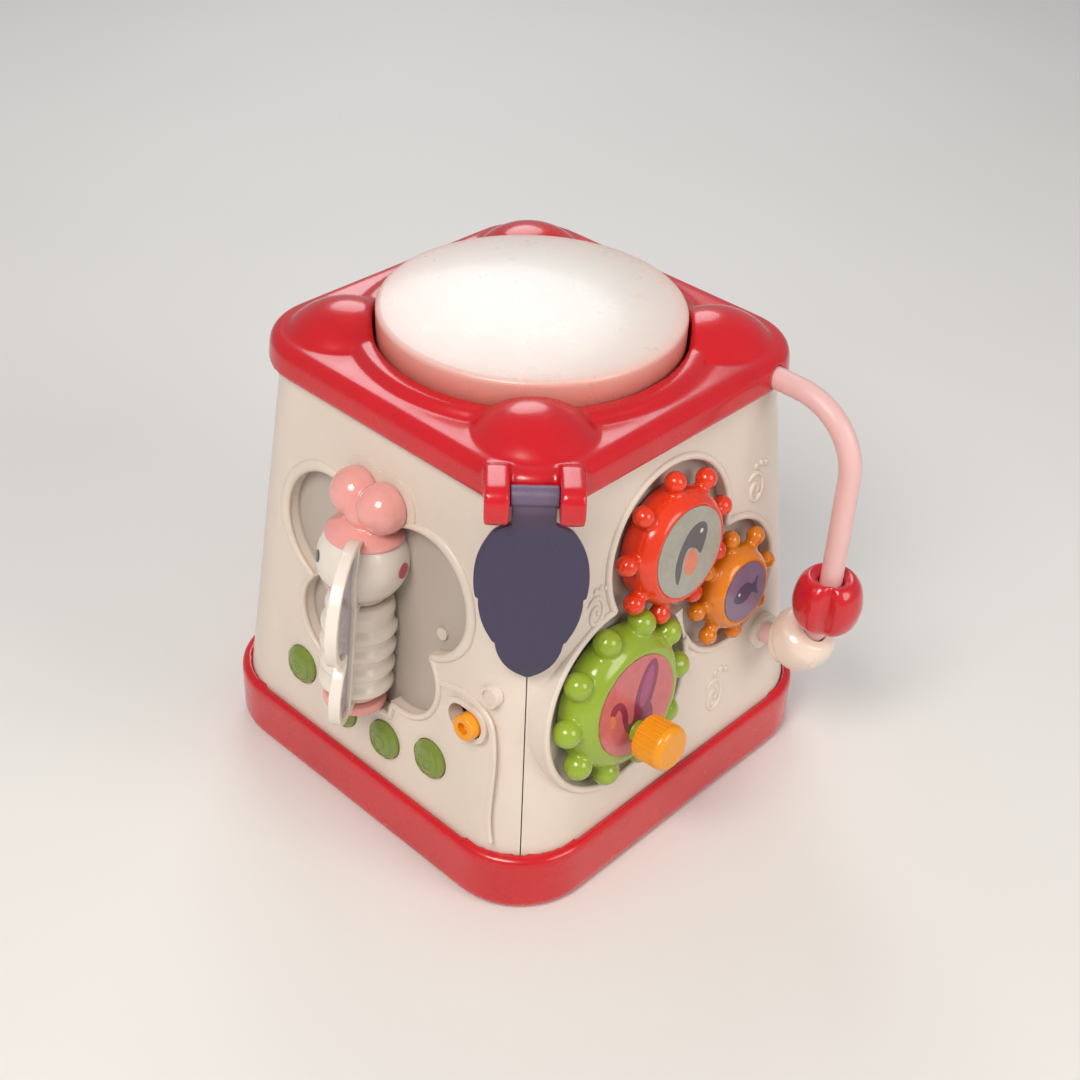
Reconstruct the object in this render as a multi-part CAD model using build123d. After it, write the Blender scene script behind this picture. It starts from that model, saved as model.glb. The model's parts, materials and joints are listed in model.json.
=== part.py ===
from build123d import *
import math
import os

# Baby activity cube. Millimetres, +Z up, origin at the centre of the base underside.
# The -Y side carries a butterfly flip page, four buttons and a slide switch, the +X side three
# ball-toothed gears and a bead handle, the +Y side a clock and the -X side a rattle roller.

# Body: a tapered box with rounded upright corners
LIP_Z = 23.3
SKIRT_Z = 156.0
HALF_LOW = 80.0
HALF_HIGH = 66.4
CORNER_LOW = 27.0
CORNER_HIGH = 24.0
WALL = 2.5
SEAM_GAP = 0.4
PANEL_BOTTOM = 19.3
PANEL_TOP = 158.5
TILT = math.degrees(math.atan2(HALF_LOW - HALF_HIGH, SKIRT_Z - LIP_Z))

# Base tray and battery bay
TRAY_HALF = 83.5
TRAY_CORNER = 29.0
TRAY_HEIGHT = 24.0
FLOOR = 3.0
SCREW_REACH = 72.5
SCREW_ALONG = 50.0
SCREW_HEAD_Z = 3.4
BAY_X = 62.0
BAY_Y = 52.0
BAY_CENTRE_Y = -30.0
BAY_ROOF_Z = 21.0
DOOR_BOTTOM = 0.3
DOOR_TOP = 2.7
DOOR_SEAT = 1.8
CELL_RADIUS = 7.2
CELL_LENGTH = 50.0
CELL_Z = 11.2
CELL_PLACES = (-21.0, -5.5, 10.0)
SPEAKER_Y = 38.0
SPEAKER_RADIUS = 24.0
BOARD_THICKNESS = 1.6

# Top cover and drum
COVER_HALF = 69.9
COVER_CORNER = 26.0
COVER_EDGE_Z = 167.0
COVER_WALL = 2.8
LOBE_CENTRE_Z = 149.5
RING_RADIUS = 60.0
RING_TOP_Z = 169.5
WELL_RADIUS = 53.0
WELL_FLOOR_Z = 160.0
DRUM_RADIUS = 52.0
DRUM_EDGE_Z = 177.5
DRUM_TOP_Z = 181.5
DRUM_BOTTOM_Z = 165.2

# Leaf flap on the front corner
LEAF_PIN_REACH = 92.0
LEAF_PIN_Z = 163.5
LEAF_LEAN = 3.5
LEAF_LENGTH = 66.0
LEAF_THICKNESS = 2.6
LEAF_LOBES = [
    [(0.148, 6.7), (0.17, 9.8), (0.2, 12.4), (0.28, 15.4), (0.36, 17.0), (0.45, 17.5), (0.52, 17.2), (0.55, 16.4)],
    [(0.55, 16.4), (0.6, 15.9), (0.66, 15.2), (0.72, 13.9), (0.77, 12.3), (0.8, 10.9)],
    [(0.8, 10.9), (0.86, 9.8), (0.92, 7.8), (0.97, 4.5), (1.0, 1.2)],
]
EAR_INNER = 7.3
EAR_WIDTH = 7.6

# Butterfly: face coordinates are x along the face, y up the slope, z outwards
RECESS_DEPTH = 5.0
RECESS_LOW = 27.8
RECESS_HIGH = 103.5
PAGE_AXIS_OUT = 5.0
PAGE_ANGLE = 54.5
PAGE_THICKNESS = 4.0
PAGE_RIM = 2.6
SHEET_GAP = 0.05
KNUCKLE_RADIUS = 8.6
UPPER_LOBE = (22.2, 84.0, 20.6)
LOWER_LOBE = (17.0, 50.5, 15.6)
HEAD_UP = 88.0
HEAD_RADIUS = 15.5
HAT_UP = 109.3
HAT_SPREAD = 6.6
HAT_RADIUS = 8.6
BRIM_UP = 97.0
BRIM_RADIUS = 13.5
NECK_UP = 76.0
TAIL_UP = 28.4
TORSO_LOW = 35.6
TORSO_HIGH = 73.4
TORSO_RADIUS = 12.9
HINGE_PIN_RADIUS = 1.5
PIN_CLEARANCE = 0.06
PRESS_GAP = 0.02

# Controls under the butterfly
BUTTON_RADIUS = 7.2
BUTTON_PLACES = [(-33.5, 22.3), (-11.0, 16.2), (11.5, 16.2), (34.0, 22.3)]
SLIDER_AT = (49.0, 48.5)
SLIDER_OFFSET = 2.5
SLIDER_RADIUS = 4.6
SLIDER_GUIDE_DEPTH = 4.6

PIP_AT = (57.0, 62.4)
RECESS_PIP_AT = (30.0, 70.0)
CONTOUR = [(31.8, 56.8), (36.8, 55.6), (46.0, 57.9), (52.0, 56.8), (58.6, 52.8), (60.6, 47.5), (62.2, 30.0),
           (64.6, 6.0)]

# Gears: centre on the face, then the ball circle's radius, the ball count and the radii of ball, body and disc
GREEN = dict(at=(-31.0, 48.8), ring=27.1, balls=10, ball=4.9, body=25.6, disc=18.3)
RED = dict(at=(-4.6, 96.0), ring=24.1, balls=9, ball=3.7, body=20.6, disc=16.0)
ORANGE = dict(at=(26.0, 65.0), ring=19.3, balls=8, ball=3.3, body=15.6, disc=11.2)
RED_PHASE = 10.9
BALL_OUT = 2.4
GEAR_BACK = -4.4
GEAR_FRONT = 8.6
DISC_THICKNESS = 0.8
AXLE_RADIUS = 3.0
AXLE_HEAD = 5.2
POST_DROP = 10.5
POST_RADIUS = 4.0
POST_PIN_RADIUS = 2.5
KNOB_RADIUS = 8.1
KNOB_LOW = 12.7
KNOB_HIGH = 24.5
KNOB_RIBS = 26

# Bead handle in a plane square to the gear side
TUBE_Y = 47.0
TUBE_RADIUS = 3.9
TUBE_TOP_Z = 160.0
TUBE_LOW_Z = 57.5
TUBE_REACH_X = 102.0
TUBE_TOP_BEND = 24.0
TUBE_LOW_BEND = 24.0
RED_BEAD_Z = 85.5
RED_BEAD_RADIUS = 12.2
BEAD_CLEARANCE = 1.3
WHITE_BEAD_ANGLE = 50.0
WHITE_BEAD_BORE = 4.5
WHITE_BEAD_BANDS = [(9.6, -21.0, 21.0), (11.6, -15.0, 9.0)]

# Clock and rattle roller on the two far sides
CLOCK_UP = 70.0
DIAL_RADIUS = 36.0
HOUR_HAND = dict(length=20.0, width=6.0, low=2.8, high=4.6, angle=60.0)
MINUTE_HAND = dict(length=28.0, width=5.0, low=5.0, high=6.8, angle=-60.0)
ROLLER_UP = 62.0
ROLLER_RADIUS = 17.0
ROLLER_LENGTH = 62.0
ROLLER_OUT = -9.0
ROLLER_AXLE_RADIUS = 2.5

FACE = Plane(
    origin=(HALF_LOW, 0, LIP_Z),
    x_dir=(0, 1, 0),
    z_dir=(math.cos(math.radians(TILT)), 0, math.sin(math.radians(TILT))),
)
GEAR_SIDE = Rot(0, 0, 0) * FACE.location
BUTTERFLY_SIDE = Rot(0, 0, -90) * FACE.location
CLOCK_SIDE = Rot(0, 0, 90) * FACE.location
ROLLER_SIDE = Rot(0, 0, 180) * FACE.location
FRONT_CORNER = Rot(0, 0, -45)


def blend(low, high, z):
    """Value that runs straight from low at the lip to high at the cover skirt."""
    return low + (high - low) * (z - LIP_Z) / (SKIRT_Z - LIP_Z)


def half_at(z):
    return blend(HALF_LOW, HALF_HIGH, z)


def rounded_square(half, corner, z):
    return Pos(0, 0, z) * RectangleRounded(2 * half, 2 * half, corner)


def body_block(low, high, inset):
    """Solid tapered body between two heights, its sides moved in by inset."""
    sections = []
    for z in (low, high):
        corner = blend(CORNER_LOW, CORNER_HIGH, z) - inset
        sections.append(rounded_square(half_at(z) - inset, corner, z))
    return loft(sections, ruled=True)


def rod(radius, low, high):
    """Cylinder on the local z axis from low to high."""
    return Pos(0, 0, low) * Cylinder(radius, high - low, align=(Align.CENTER, Align.CENTER, Align.MIN))


def ring(outer, inner, low, high):
    return rod(outer, low, high) - rod(inner, low - 1, high + 1)


def slab(width, depth, low, high):
    """Box centred on the local z axis from low to high."""
    return Pos(0, 0, low) * Box(width, depth, high - low, align=(Align.CENTER, Align.CENTER, Align.MIN))


def turned(points):
    """Solid of revolution about the local z axis from (radius, height) corners."""
    outline = Polyline([(r, 0, z) for r, z in points], close=True)
    return revolve(make_face(outline), Axis.Z)


def ball(radius, x=0.0, y=0.0, z=0.0):
    return Pos(x, y, z) * Sphere(radius)


def around(count, radius, phase=0.0):
    """Locations spaced evenly on a circle in the local xy plane."""
    for i in range(count):
        yield Rot(0, 0, phase + 360.0 * i / count) * Pos(radius, 0, 0)


def four_corners(x, y):
    return [Pos(sx * x, sy * y, 0) for sx in (-1, 1) for sy in (-1, 1)]


# ---------------------------------------------------------------- body panels

def panel_shell(turn):
    """One side of the tapered wall between two corner seams."""
    wall = body_block(PANEL_BOTTOM, PANEL_TOP, 0) - body_block(PANEL_BOTTOM - 2, PANEL_TOP + 2, WALL)
    return (wall & seam_wedge(turn)) + panel_boss(turn)


def seam_wedge(turn):
    reach = 3 * HALF_LOW
    corners = Polyline([(0, 0), (reach, -reach), (reach, reach)], close=True)
    wedge = extrude(make_face(corners), SKIRT_Z + reach / 4)
    return Rot(0, 0, turn) * Pos(SEAM_GAP / math.sqrt(2), 0, 0) * wedge


def dish(outline, rim, wall, depth):
    """Block for a recess: a rim standing out of the face and a floor behind it."""
    outer = offset(outline, amount=wall, kind=Kind.ARC)
    return Pos(0, 0, -depth - wall) * extrude(outer, depth + wall + rim)


def hollow(outline, depth):
    return Pos(0, 0, -depth) * extrude(outline, depth + 40)


def raised_line(points, width, height):
    """Low rounded line moulded on the face along a smooth path."""
    path = Spline(points)
    start = Plane(origin=path @ 0, z_dir=path % 0)
    return sweep(start * Circle(width / 2), path=path) & slab(200, 400, -height, height)


def butterfly_recess_outline():
    grow = 1.6
    outline = Sketch()
    for x, y, radius in (UPPER_LOBE, LOWER_LOBE):
        for side in (-1, 1):
            outline += Pos(side * x, y, 0) * Circle(radius + grow)
    middle = (RECESS_LOW + RECESS_HIGH) / 2
    return outline + Pos(0, middle, 0) * Rectangle(2 * TORSO_RADIUS, RECESS_HIGH - RECESS_LOW)


def slot_prism(length, width, low, high):
    return Pos(0, 0, low) * extrude(SlotOverall(length, width), high - low)


def make_panel_butterfly():
    outline = butterfly_recess_outline()
    panel = panel_shell(-90)
    details = dish(outline, 0.0, 2.0, RECESS_DEPTH)
    for side in (-1, 1):
        details += Pos(side * HAT_SPREAD, HAT_UP, -1) * Cylinder(HAT_RADIUS + 2.6, 3.6)
    x, y = SLIDER_AT
    details += Pos(x, y, 0) * slot_prism(19.0, 13.8, -SLIDER_GUIDE_DEPTH, 1.6)
    x, y = PIP_AT
    details += Pos(x, y, -1) * Cylinder(3.8, 3.4)
    details += raised_line(CONTOUR, 2.2, 0.7)
    panel = panel + BUTTERFLY_SIDE * details
    cuts = hollow(outline, RECESS_DEPTH)
    for x, y in BUTTON_PLACES:
        cuts += Pos(x, y, -4) * Cylinder(BUTTON_RADIUS + 0.25, 20)
    x, y = SLIDER_AT
    cuts += Pos(x, y, 0) * slot_prism(15.2, 2 * SLIDER_RADIUS + 0.8, -20, 20)
    x, y = PIP_AT
    cuts += Pos(x, y, 0.7) * Cylinder(2.6, 2)
    x, y = RECESS_PIP_AT
    pip = Pos(x, y, -RECESS_DEPTH) * rod(2.2, -0.5, 1.2)
    return ((panel - BUTTERFLY_SIDE * cuts) & seam_wedge(-90)) + BUTTERFLY_SIDE * pip


def make_panel_gears():
    outline = gear_recess_outline()
    panel = panel_shell(0) + GEAR_SIDE * dish(outline, 0.6, 2.0, RECESS_DEPTH)
    cuts = hollow(outline, RECESS_DEPTH)
    for gear in (GREEN, RED, ORANGE):
        x, y = gear["at"]
        cuts += Pos(x, y, 0) * rod(AXLE_RADIUS + PRESS_GAP, -12, 0)
    panel = panel - GEAR_SIDE * cuts
    for z in (TUBE_LOW_Z, TUBE_TOP_Z):
        panel = panel - Pos(0, TUBE_Y, z) * Rot(0, 90, 0) * rod(TUBE_RADIUS + PRESS_GAP, 60, 90)
    return panel & seam_wedge(0)


def gear_recess_outline():
    outline = Sketch()
    for gear in (GREEN, RED, ORANGE):
        x, y = gear["at"]
        outline += Pos(x, y, 0) * Circle(gear["ring"] + gear["ball"] + 1.8)
    return outline


def make_panel_clock():
    outline = Pos(0, CLOCK_UP, 0) * Circle(DIAL_RADIUS + 1.0)
    panel = panel_shell(90) + CLOCK_SIDE * dish(outline, 1.2, 2.0, RECESS_DEPTH)
    cuts = hollow(outline, RECESS_DEPTH) + Pos(0, CLOCK_UP, 0) * rod(2.0 + PRESS_GAP, -12, 0)
    return (panel - CLOCK_SIDE * cuts) & seam_wedge(90)


def make_panel_roller():
    width = ROLLER_LENGTH + 3.0
    height = 2 * ROLLER_RADIUS + 3.0
    depth = ROLLER_RADIUS - ROLLER_OUT + 1.5
    window = Pos(0, ROLLER_UP, 0) * RectangleRounded(width, height, 5.0)
    panel = panel_shell(180) + ROLLER_SIDE * dish(window, 1.2, 2.0, depth)
    cuts = hollow(window, depth)
    axle = rod(ROLLER_AXLE_RADIUS + PRESS_GAP, -width / 2 - 1.4, width / 2 + 1.4)
    cuts += Pos(0, ROLLER_UP, ROLLER_OUT) * Rot(0, 90, 0) * axle
    return (panel - ROLLER_SIDE * cuts) & seam_wedge(180)


# ---------------------------------------------------------------- base

def make_base_tray():
    block = extrude(rounded_square(TRAY_HALF, TRAY_CORNER, 0), TRAY_HEIGHT)
    block = fillet(block.edges().group_by(Axis.Z)[-1], 2.6)
    block = fillet(block.edges().group_by(Axis.Z)[0], 4.0)
    room = extrude(rounded_square(TRAY_HALF - 6.0, TRAY_CORNER - 6.0, FLOOR), PANEL_BOTTOM - FLOOR - 2.5)
    seat = body_block(PANEL_BOTTOM, TRAY_HEIGHT + 4, -0.1)
    way_in = extrude(rounded_square(TRAY_HALF - 8.0, TRAY_CORNER - 8.0, FLOOR), TRAY_HEIGHT)
    tray = block - room - seat - way_in
    bay = Pos(0, BAY_CENTRE_Y, 0)
    tray += bay * slab(BAY_X + 4, BAY_Y + 4, 0, BAY_ROOF_Z)
    tray -= bay * slab(BAY_X, BAY_Y, -1, BAY_ROOF_Z - 2)
    tray += door_screw_place() * slab(7.0, 9.0, DOOR_TOP + 0.3, BAY_ROOF_Z - 1)
    tray -= door_screw_place() * rod(1.25, 0, 14)
    for place in four_corners(BAY_X / 2 - 4, BAY_Y / 2 - 4):
        tray += bay * place * ring(3.0, 1.15, BAY_ROOF_Z - 0.5, BAY_ROOF_Z + 5)
    for x in (-16, -8, 0, 8, 16):
        length = 2 * math.sqrt(SPEAKER_RADIUS ** 2 - x ** 2) - 14
        tray -= Pos(x, SPEAKER_Y, 0) * Rot(0, 0, 90) * slot_prism(length, 3.0, -1, 8)
    for turn in (0, 90, 180, 270):
        place = panel_screw_place(turn)
        tray += place * rod(4.2, FLOOR - 0.5, PANEL_BOTTOM)
        tray = tray - place * rod(1.6, -1, 40) - place * rod(3.2, -1, SCREW_HEAD_Z)
    return tray


def panel_screw_place(turn):
    """Upright screw line just inside the wall of one side."""
    return Rot(0, 0, turn) * Pos(SCREW_REACH, SCREW_ALONG, 0)


def panel_boss(turn):
    """Screw boss at the foot of a panel, ribbed to its wall."""
    boss = rod(3.8, PANEL_BOTTOM, PANEL_BOTTOM + 16) + Pos(3.0, 0, 0) * slab(5.0, 2.4, PANEL_BOTTOM, PANEL_BOTTOM + 16)
    return panel_screw_place(turn) * (boss - rod(1.3, PANEL_BOTTOM - 1, PANEL_BOTTOM + 12))


def make_battery_door():
    door = Pos(0, BAY_CENTRE_Y, 0) * slab(BAY_X - 0.6, BAY_Y - 0.6, DOOR_BOTTOM, DOOR_TOP)
    for x in (-16, -8, 0, 8):
        door -= Pos(x, BAY_CENTRE_Y, 0) * slab(2.0, BAY_Y - 16, 0, DOOR_BOTTOM + 0.8)
    return door - door_screw_place() * (rod(1.3, 0, 5) + rod(3.0, 0, DOOR_SEAT))


def door_screw_place():
    return Pos(BAY_X / 2 - 3.5, BAY_CENTRE_Y, 0)


def screw(length, head=2.7, shank=1.2):
    """Pan-head screw with a cross slot, its head below z = 0 and its shank above."""
    body = rod(head, -1.2, 0) + rod(shank, 0, length)
    for angle in (0, 90):
        body -= Rot(0, 0, angle) * slab(3.4, 0.8, -1.3, -0.6)
    return body


def make_battery_door_screw():
    return door_screw_place() * Pos(0, 0, DOOR_SEAT) * screw(10.0)


def make_batteries():
    """Three cylindrical cells side by side along Y."""
    cells = []
    for i, x in enumerate(CELL_PLACES):
        cell = rod(CELL_RADIUS, -CELL_LENGTH / 2 + 1.5, CELL_LENGTH / 2 - 2.5)
        cell += rod(2.6, CELL_LENGTH / 2 - 2.6, CELL_LENGTH / 2 - 1.2)
        tip = 1 if i % 2 else -1
        cells.append(Pos(x, BAY_CENTRE_Y, CELL_Z) * Rot(90 * tip, 0, 0) * cell)
    return Compound(children=cells)


def make_battery_contacts():
    plates = []
    for end in (-1, 1):
        for x in CELL_PLACES:
            plate = slab(11.0, 0.5, 6.0, 17.0)
            plates.append(Pos(x, BAY_CENTRE_Y + end * (BAY_Y / 2 - 0.3), 0) * plate)
    return Compound(children=plates)


def make_main_board():
    bottom = BAY_ROOF_Z + 5
    board = slab(BAY_X, BAY_Y, bottom, bottom + BOARD_THICKNESS)
    board += Pos(-8, 4, 0) * slab(14, 14, bottom, bottom + 4)
    board += Pos(14, 10, 0) * slab(9, 6, bottom, bottom + 4.5)
    board += Pos(16, -10, 0) * rod(4.0, bottom, bottom + 12)
    board += Pos(-20, -12, 0) * slab(6, 12, bottom, bottom + 7)
    for place in four_corners(BAY_X / 2 - 4, BAY_Y / 2 - 4):
        board -= place * rod(1.5, bottom - 1, bottom + 3)
    return Pos(0, BAY_CENTRE_Y, 0) * board


def make_main_board_screws():
    top = BAY_ROOF_Z + 5 + BOARD_THICKNESS
    screws = []
    for place in four_corners(BAY_X / 2 - 4, BAY_Y / 2 - 4):
        screws.append(Pos(0, BAY_CENTRE_Y, top) * place * Rot(180, 0, 0) * screw(5.5, head=2.4, shank=1.1))
    return Compound(children=screws)


def make_speaker():
    low = FLOOR
    basket = turned([(SPEAKER_RADIUS, low), (SPEAKER_RADIUS, low + 3), (14, low + 9), (12, low + 9),
                     (12, low + 14), (0, low + 14), (0, low + 7), (8, low + 5), (SPEAKER_RADIUS - 3, low + 1.2),
                     (SPEAKER_RADIUS - 3, low)])
    return Pos(0, SPEAKER_Y, 0) * basket


def make_panel_screws():
    """Screws driven up through the tray into the foot of each panel."""
    return Compound(children=[panel_screw_place(turn) * Pos(0, 0, SCREW_HEAD_Z) * screw(24.0)
                              for turn in (0, 90, 180, 270)])


# ---------------------------------------------------------------- top cover, drum and leaf

def lobes(radius):
    centre = COVER_HALF - COVER_CORNER
    result = None
    for place in four_corners(centre, centre):
        dome = place * ball(radius, z=LOBE_CENTRE_Z)
        result = dome if result is None else result + dome
    return result & slab(4 * COVER_HALF, 4 * COVER_HALF, SKIRT_Z, SKIRT_Z + 40)


def make_top_cover():
    height = COVER_EDGE_Z - SKIRT_Z
    cover = extrude(rounded_square(COVER_HALF, COVER_CORNER, SKIRT_Z), height, taper=TILT)
    cover = fillet(cover.edges().group_by(Axis.Z)[-1], 4.5)
    collar = fillet(rod(RING_RADIUS, SKIRT_Z, RING_TOP_Z).edges().group_by(Axis.Z)[-1], 2.2)
    cover = cover + lobes(COVER_CORNER) + collar
    room = extrude(
        rounded_square(COVER_HALF - COVER_WALL, COVER_CORNER - COVER_WALL, SKIRT_Z - 1),
        COVER_EDGE_Z - SKIRT_Z - 2.0,
        taper=TILT,
    )
    room += lobes(COVER_CORNER - COVER_WALL)
    room -= rod(WELL_RADIUS + 2.5, WELL_FLOOR_Z - FLOOR, RING_TOP_Z + 20)
    cover = cover - room - rod(WELL_RADIUS, WELL_FLOOR_Z, RING_TOP_Z + 20) - rod(20, SKIRT_Z - 1, WELL_FLOOR_Z + 1)
    cover = cover + FRONT_CORNER * leaf_ears() - body_block(SKIRT_Z - 1, PANEL_TOP + 0.1, -0.1)
    cover -= leaf_pin_rod()
    cover -= Pos(0, TUBE_Y, TUBE_TOP_Z) * Rot(0, 90, 0) * rod(TUBE_RADIUS + PRESS_GAP, 60, 90)
    return cover


def leaf_hinge():
    """Hinge line across the corner, with local z along it."""
    return Pos(LEAF_PIN_REACH, 0, LEAF_PIN_Z) * Rot(90, 0, 0)


def leaf_ears():
    """Two rounded ears standing out of the corner, in the corner's own x-outward frame."""
    ears = None
    for sign in (-1, 1):
        mid = sign * (EAR_INNER + EAR_WIDTH / 2)
        ear = Pos(LEAF_PIN_REACH - 2.5, mid, LEAF_PIN_Z - 1.6) * Box(19.0, EAR_WIDTH, 13.2)
        ear = fillet(ear.edges().filter_by(Axis.Y), 4.4)
        ears = ear if ears is None else ears + ear
    return ears


def leaf_pin_rod():
    half = EAR_INNER + EAR_WIDTH - 1.5
    return FRONT_CORNER * leaf_hinge() * rod(HINGE_PIN_RADIUS, -half, half)


def make_leaf_flap():
    edges = []
    for stations in LEAF_LOBES:
        right = [(width, -LEAF_LENGTH * part) for part, width in stations]
        edges += [Spline(right), Spline([(-x, y) for x, y in right])]
    for part, width in (LEAF_LOBES[0][0], LEAF_LOBES[-1][-1]):
        edges.append(Line((-width, -LEAF_LENGTH * part), (width, -LEAF_LENGTH * part)))
    blade = extrude(make_face(Curve() + edges), LEAF_THICKNESS / 2, both=True)
    neck = Pos(0, -LEAF_LENGTH * 0.1, 0) * Box(13.4, LEAF_LENGTH * 0.2, LEAF_THICKNESS)
    barrel = Rot(0, 90, 0) * Cylinder(3.1, 2 * EAR_INNER - 0.6)
    leaf = blade + neck + barrel - Rot(0, 90, 0) * Cylinder(HINGE_PIN_RADIUS + PIN_CLEARANCE, 4 * EAR_INNER)
    stand = Pos(LEAF_PIN_REACH, 0, LEAF_PIN_Z) * Rot(0, -LEAF_LEAN, 0) * Rot(0, 0, 90) * Rot(90, 0, 0)
    return FRONT_CORNER * stand * leaf


def dome_radius(half_width, rise):
    """Radius of the sphere whose cap has this half width and rise."""
    return (half_width ** 2 + rise ** 2) / (2 * rise)


def make_drum_pad():
    """Domed translucent cup that presses down in the cover's well."""
    rise = DRUM_TOP_Z - DRUM_EDGE_Z
    sphere = dome_radius(DRUM_RADIUS, rise)
    middle = DRUM_RADIUS * 0.6
    crown_z = DRUM_TOP_Z - sphere + math.sqrt(sphere ** 2 - middle ** 2)
    edge = 1.8
    crown = ThreePointArc((0, 0, DRUM_TOP_Z), (middle, 0, crown_z), (DRUM_RADIUS - edge, 0, DRUM_EDGE_Z + 0.2))
    corner = Spline([crown @ 1, (DRUM_RADIUS - edge * 0.25, 0, DRUM_EDGE_Z - edge * 0.2),
                     (DRUM_RADIUS, 0, DRUM_EDGE_Z - edge)])
    wall = DRUM_RADIUS - 2.2
    rest = Polyline([
        (DRUM_RADIUS, 0, DRUM_EDGE_Z - edge), (DRUM_RADIUS, 0, DRUM_BOTTOM_Z), (wall, 0, DRUM_BOTTOM_Z),
        (wall, 0, DRUM_EDGE_Z - 2.5), (5.0, 0, DRUM_EDGE_Z), (5.0, 0, DRUM_BOTTOM_Z + 1), (0, 0, DRUM_BOTTOM_Z + 1),
        (0, 0, DRUM_TOP_Z),
    ])
    return revolve(make_face(Curve() + [crown, corner, rest]), Axis.Z)


def make_drum_bumper():
    return ring(51.0, 46.0, WELL_FLOOR_Z, WELL_FLOOR_Z + 2.6)


def make_drum_light_board():
    top = WELL_FLOOR_Z + BOARD_THICKNESS
    board = rod(38.0, WELL_FLOOR_Z, top) + slab(6.2, 6.2, top, top + 2.2) + rod(1.8, top, top + 2.6)
    for place in around(8, 28.0):
        board += place * rod(2.5, top, top + 3.5)
    return board


# ---------------------------------------------------------------- butterfly figure and page

def figure():
    """Frame on the figure's own upright axis, which is also the page's hinge line."""
    return BUTTERFLY_SIDE * Pos(0, 0, PAGE_AXIS_OUT)


def above_recess(shape):
    """Keep what stands in front of the recess floor."""
    keep = Pos(0, 80, -RECESS_DEPTH - PAGE_AXIS_OUT) * slab(120, 200, 0, 60)
    return shape & keep


def upright(shape):
    """Turn a shape's z axis up the slope."""
    return Rot(-90, 0, 0) * shape


def pin_bore(low, high, clearance=0.0):
    return upright(rod(HINGE_PIN_RADIUS + clearance, low, high))


def make_figure_head():
    middle = (NECK_UP + BRIM_UP) / 2
    head = ball(HEAD_RADIUS, y=HEAD_UP) & Pos(0, middle, 0) * Box(60, BRIM_UP - NECK_UP, 60)
    return figure() * (above_recess(head) - pin_bore(60, NECK_UP + 6))


def eye_spots(azimuth, latitude, radius, height):
    """A pair of round inlays on the head, left and right of the way it faces."""
    spots = []
    for side in (-1, 1):
        aim = Pos(0, HEAD_UP, 0) * Rot(-latitude, side * azimuth, 0)
        spots.append(aim * rod(radius, HEAD_RADIUS - 1.2, HEAD_RADIUS + height))
    return spots


def make_figure_eyes():
    limit = ball(HEAD_RADIUS + 0.25, y=HEAD_UP) - ball(HEAD_RADIUS, y=HEAD_UP)
    return Compound(children=[figure() * (spot & limit) for spot in eye_spots(27, 8, 2.1, 1.0)])


def make_figure_cheeks():
    limit = ball(HEAD_RADIUS + 0.25, y=HEAD_UP) - ball(HEAD_RADIUS, y=HEAD_UP)
    return Compound(children=[figure() * (spot & limit) for spot in eye_spots(106, -8, 2.7, 1.0)])


def make_figure_hat():
    brim = turned([(0, 0), (BRIM_RADIUS - 0.4, 0), (BRIM_RADIUS, 0.8), (BRIM_RADIUS - 0.6, 1.7),
                   (BRIM_RADIUS * 0.56, 4.5), (0, 6.0)])
    hat = Pos(0, BRIM_UP, 0) * upright(brim)
    for side in (-1, 1):
        hat += ball(HAT_RADIUS, x=side * HAT_SPREAD, y=HAT_UP, z=-1.0)
    hat += ball(HAT_RADIUS * 0.8, y=HAT_UP - 4.0, z=0)
    front = Pos(0, 80, -PAGE_AXIS_OUT + 1.0) * slab(120, 200, 0, 60)
    over_recess = Pos(0, RECESS_HIGH - 20.2, -RECESS_DEPTH - PAGE_AXIS_OUT) * slab(120, 40, 0, 60)
    return figure() * (hat & (front + over_recess))


def make_figure_body():
    """Barrel with four raised rings, like the segments of an insect."""
    length = TORSO_HIGH - TORSO_LOW
    top = (TORSO_RADIUS - 1.9, TORSO_HIGH)
    low = (TORSO_RADIUS - 2.6, TORSO_LOW)
    rings = []
    for i in range(4):
        base = TORSO_LOW + 1.5 + i * length / 5
        rings += [(TORSO_RADIUS - 1.6 + 0.4 * i ** 0.5, base), (TORSO_RADIUS + 0.1, base + 1.6),
                  (TORSO_RADIUS + 0.1, base + 3.6), (TORSO_RADIUS - 1.4, base + 5.4)]
    outline = [(0, TORSO_LOW), low] + rings + [(TORSO_RADIUS - 1.0, TORSO_HIGH - 3), top, (0, TORSO_HIGH)]
    body = upright(turned(outline))
    return figure() * (above_recess(body) - pin_bore(20, 90))


def make_figure_tail():
    radius = TORSO_RADIUS - 2.2
    low = TAIL_UP
    tail = turned([(0, low), (radius - 3.0, low), (radius, low + 1.6), (radius + 0.4, low + 3.2),
                   (radius, low + 4.8), (0, low + 4.8)])
    return figure() * (above_recess(upright(tail)) - pin_bore(20, 40))


def make_page_hinge_pin():
    return figure() * upright(rod(HINGE_PIN_RADIUS, TAIL_UP + 0.4, NECK_UP + 5))


def page_frame_location():
    return figure() * Rot(0, -PAGE_ANGLE, 0)


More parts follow.
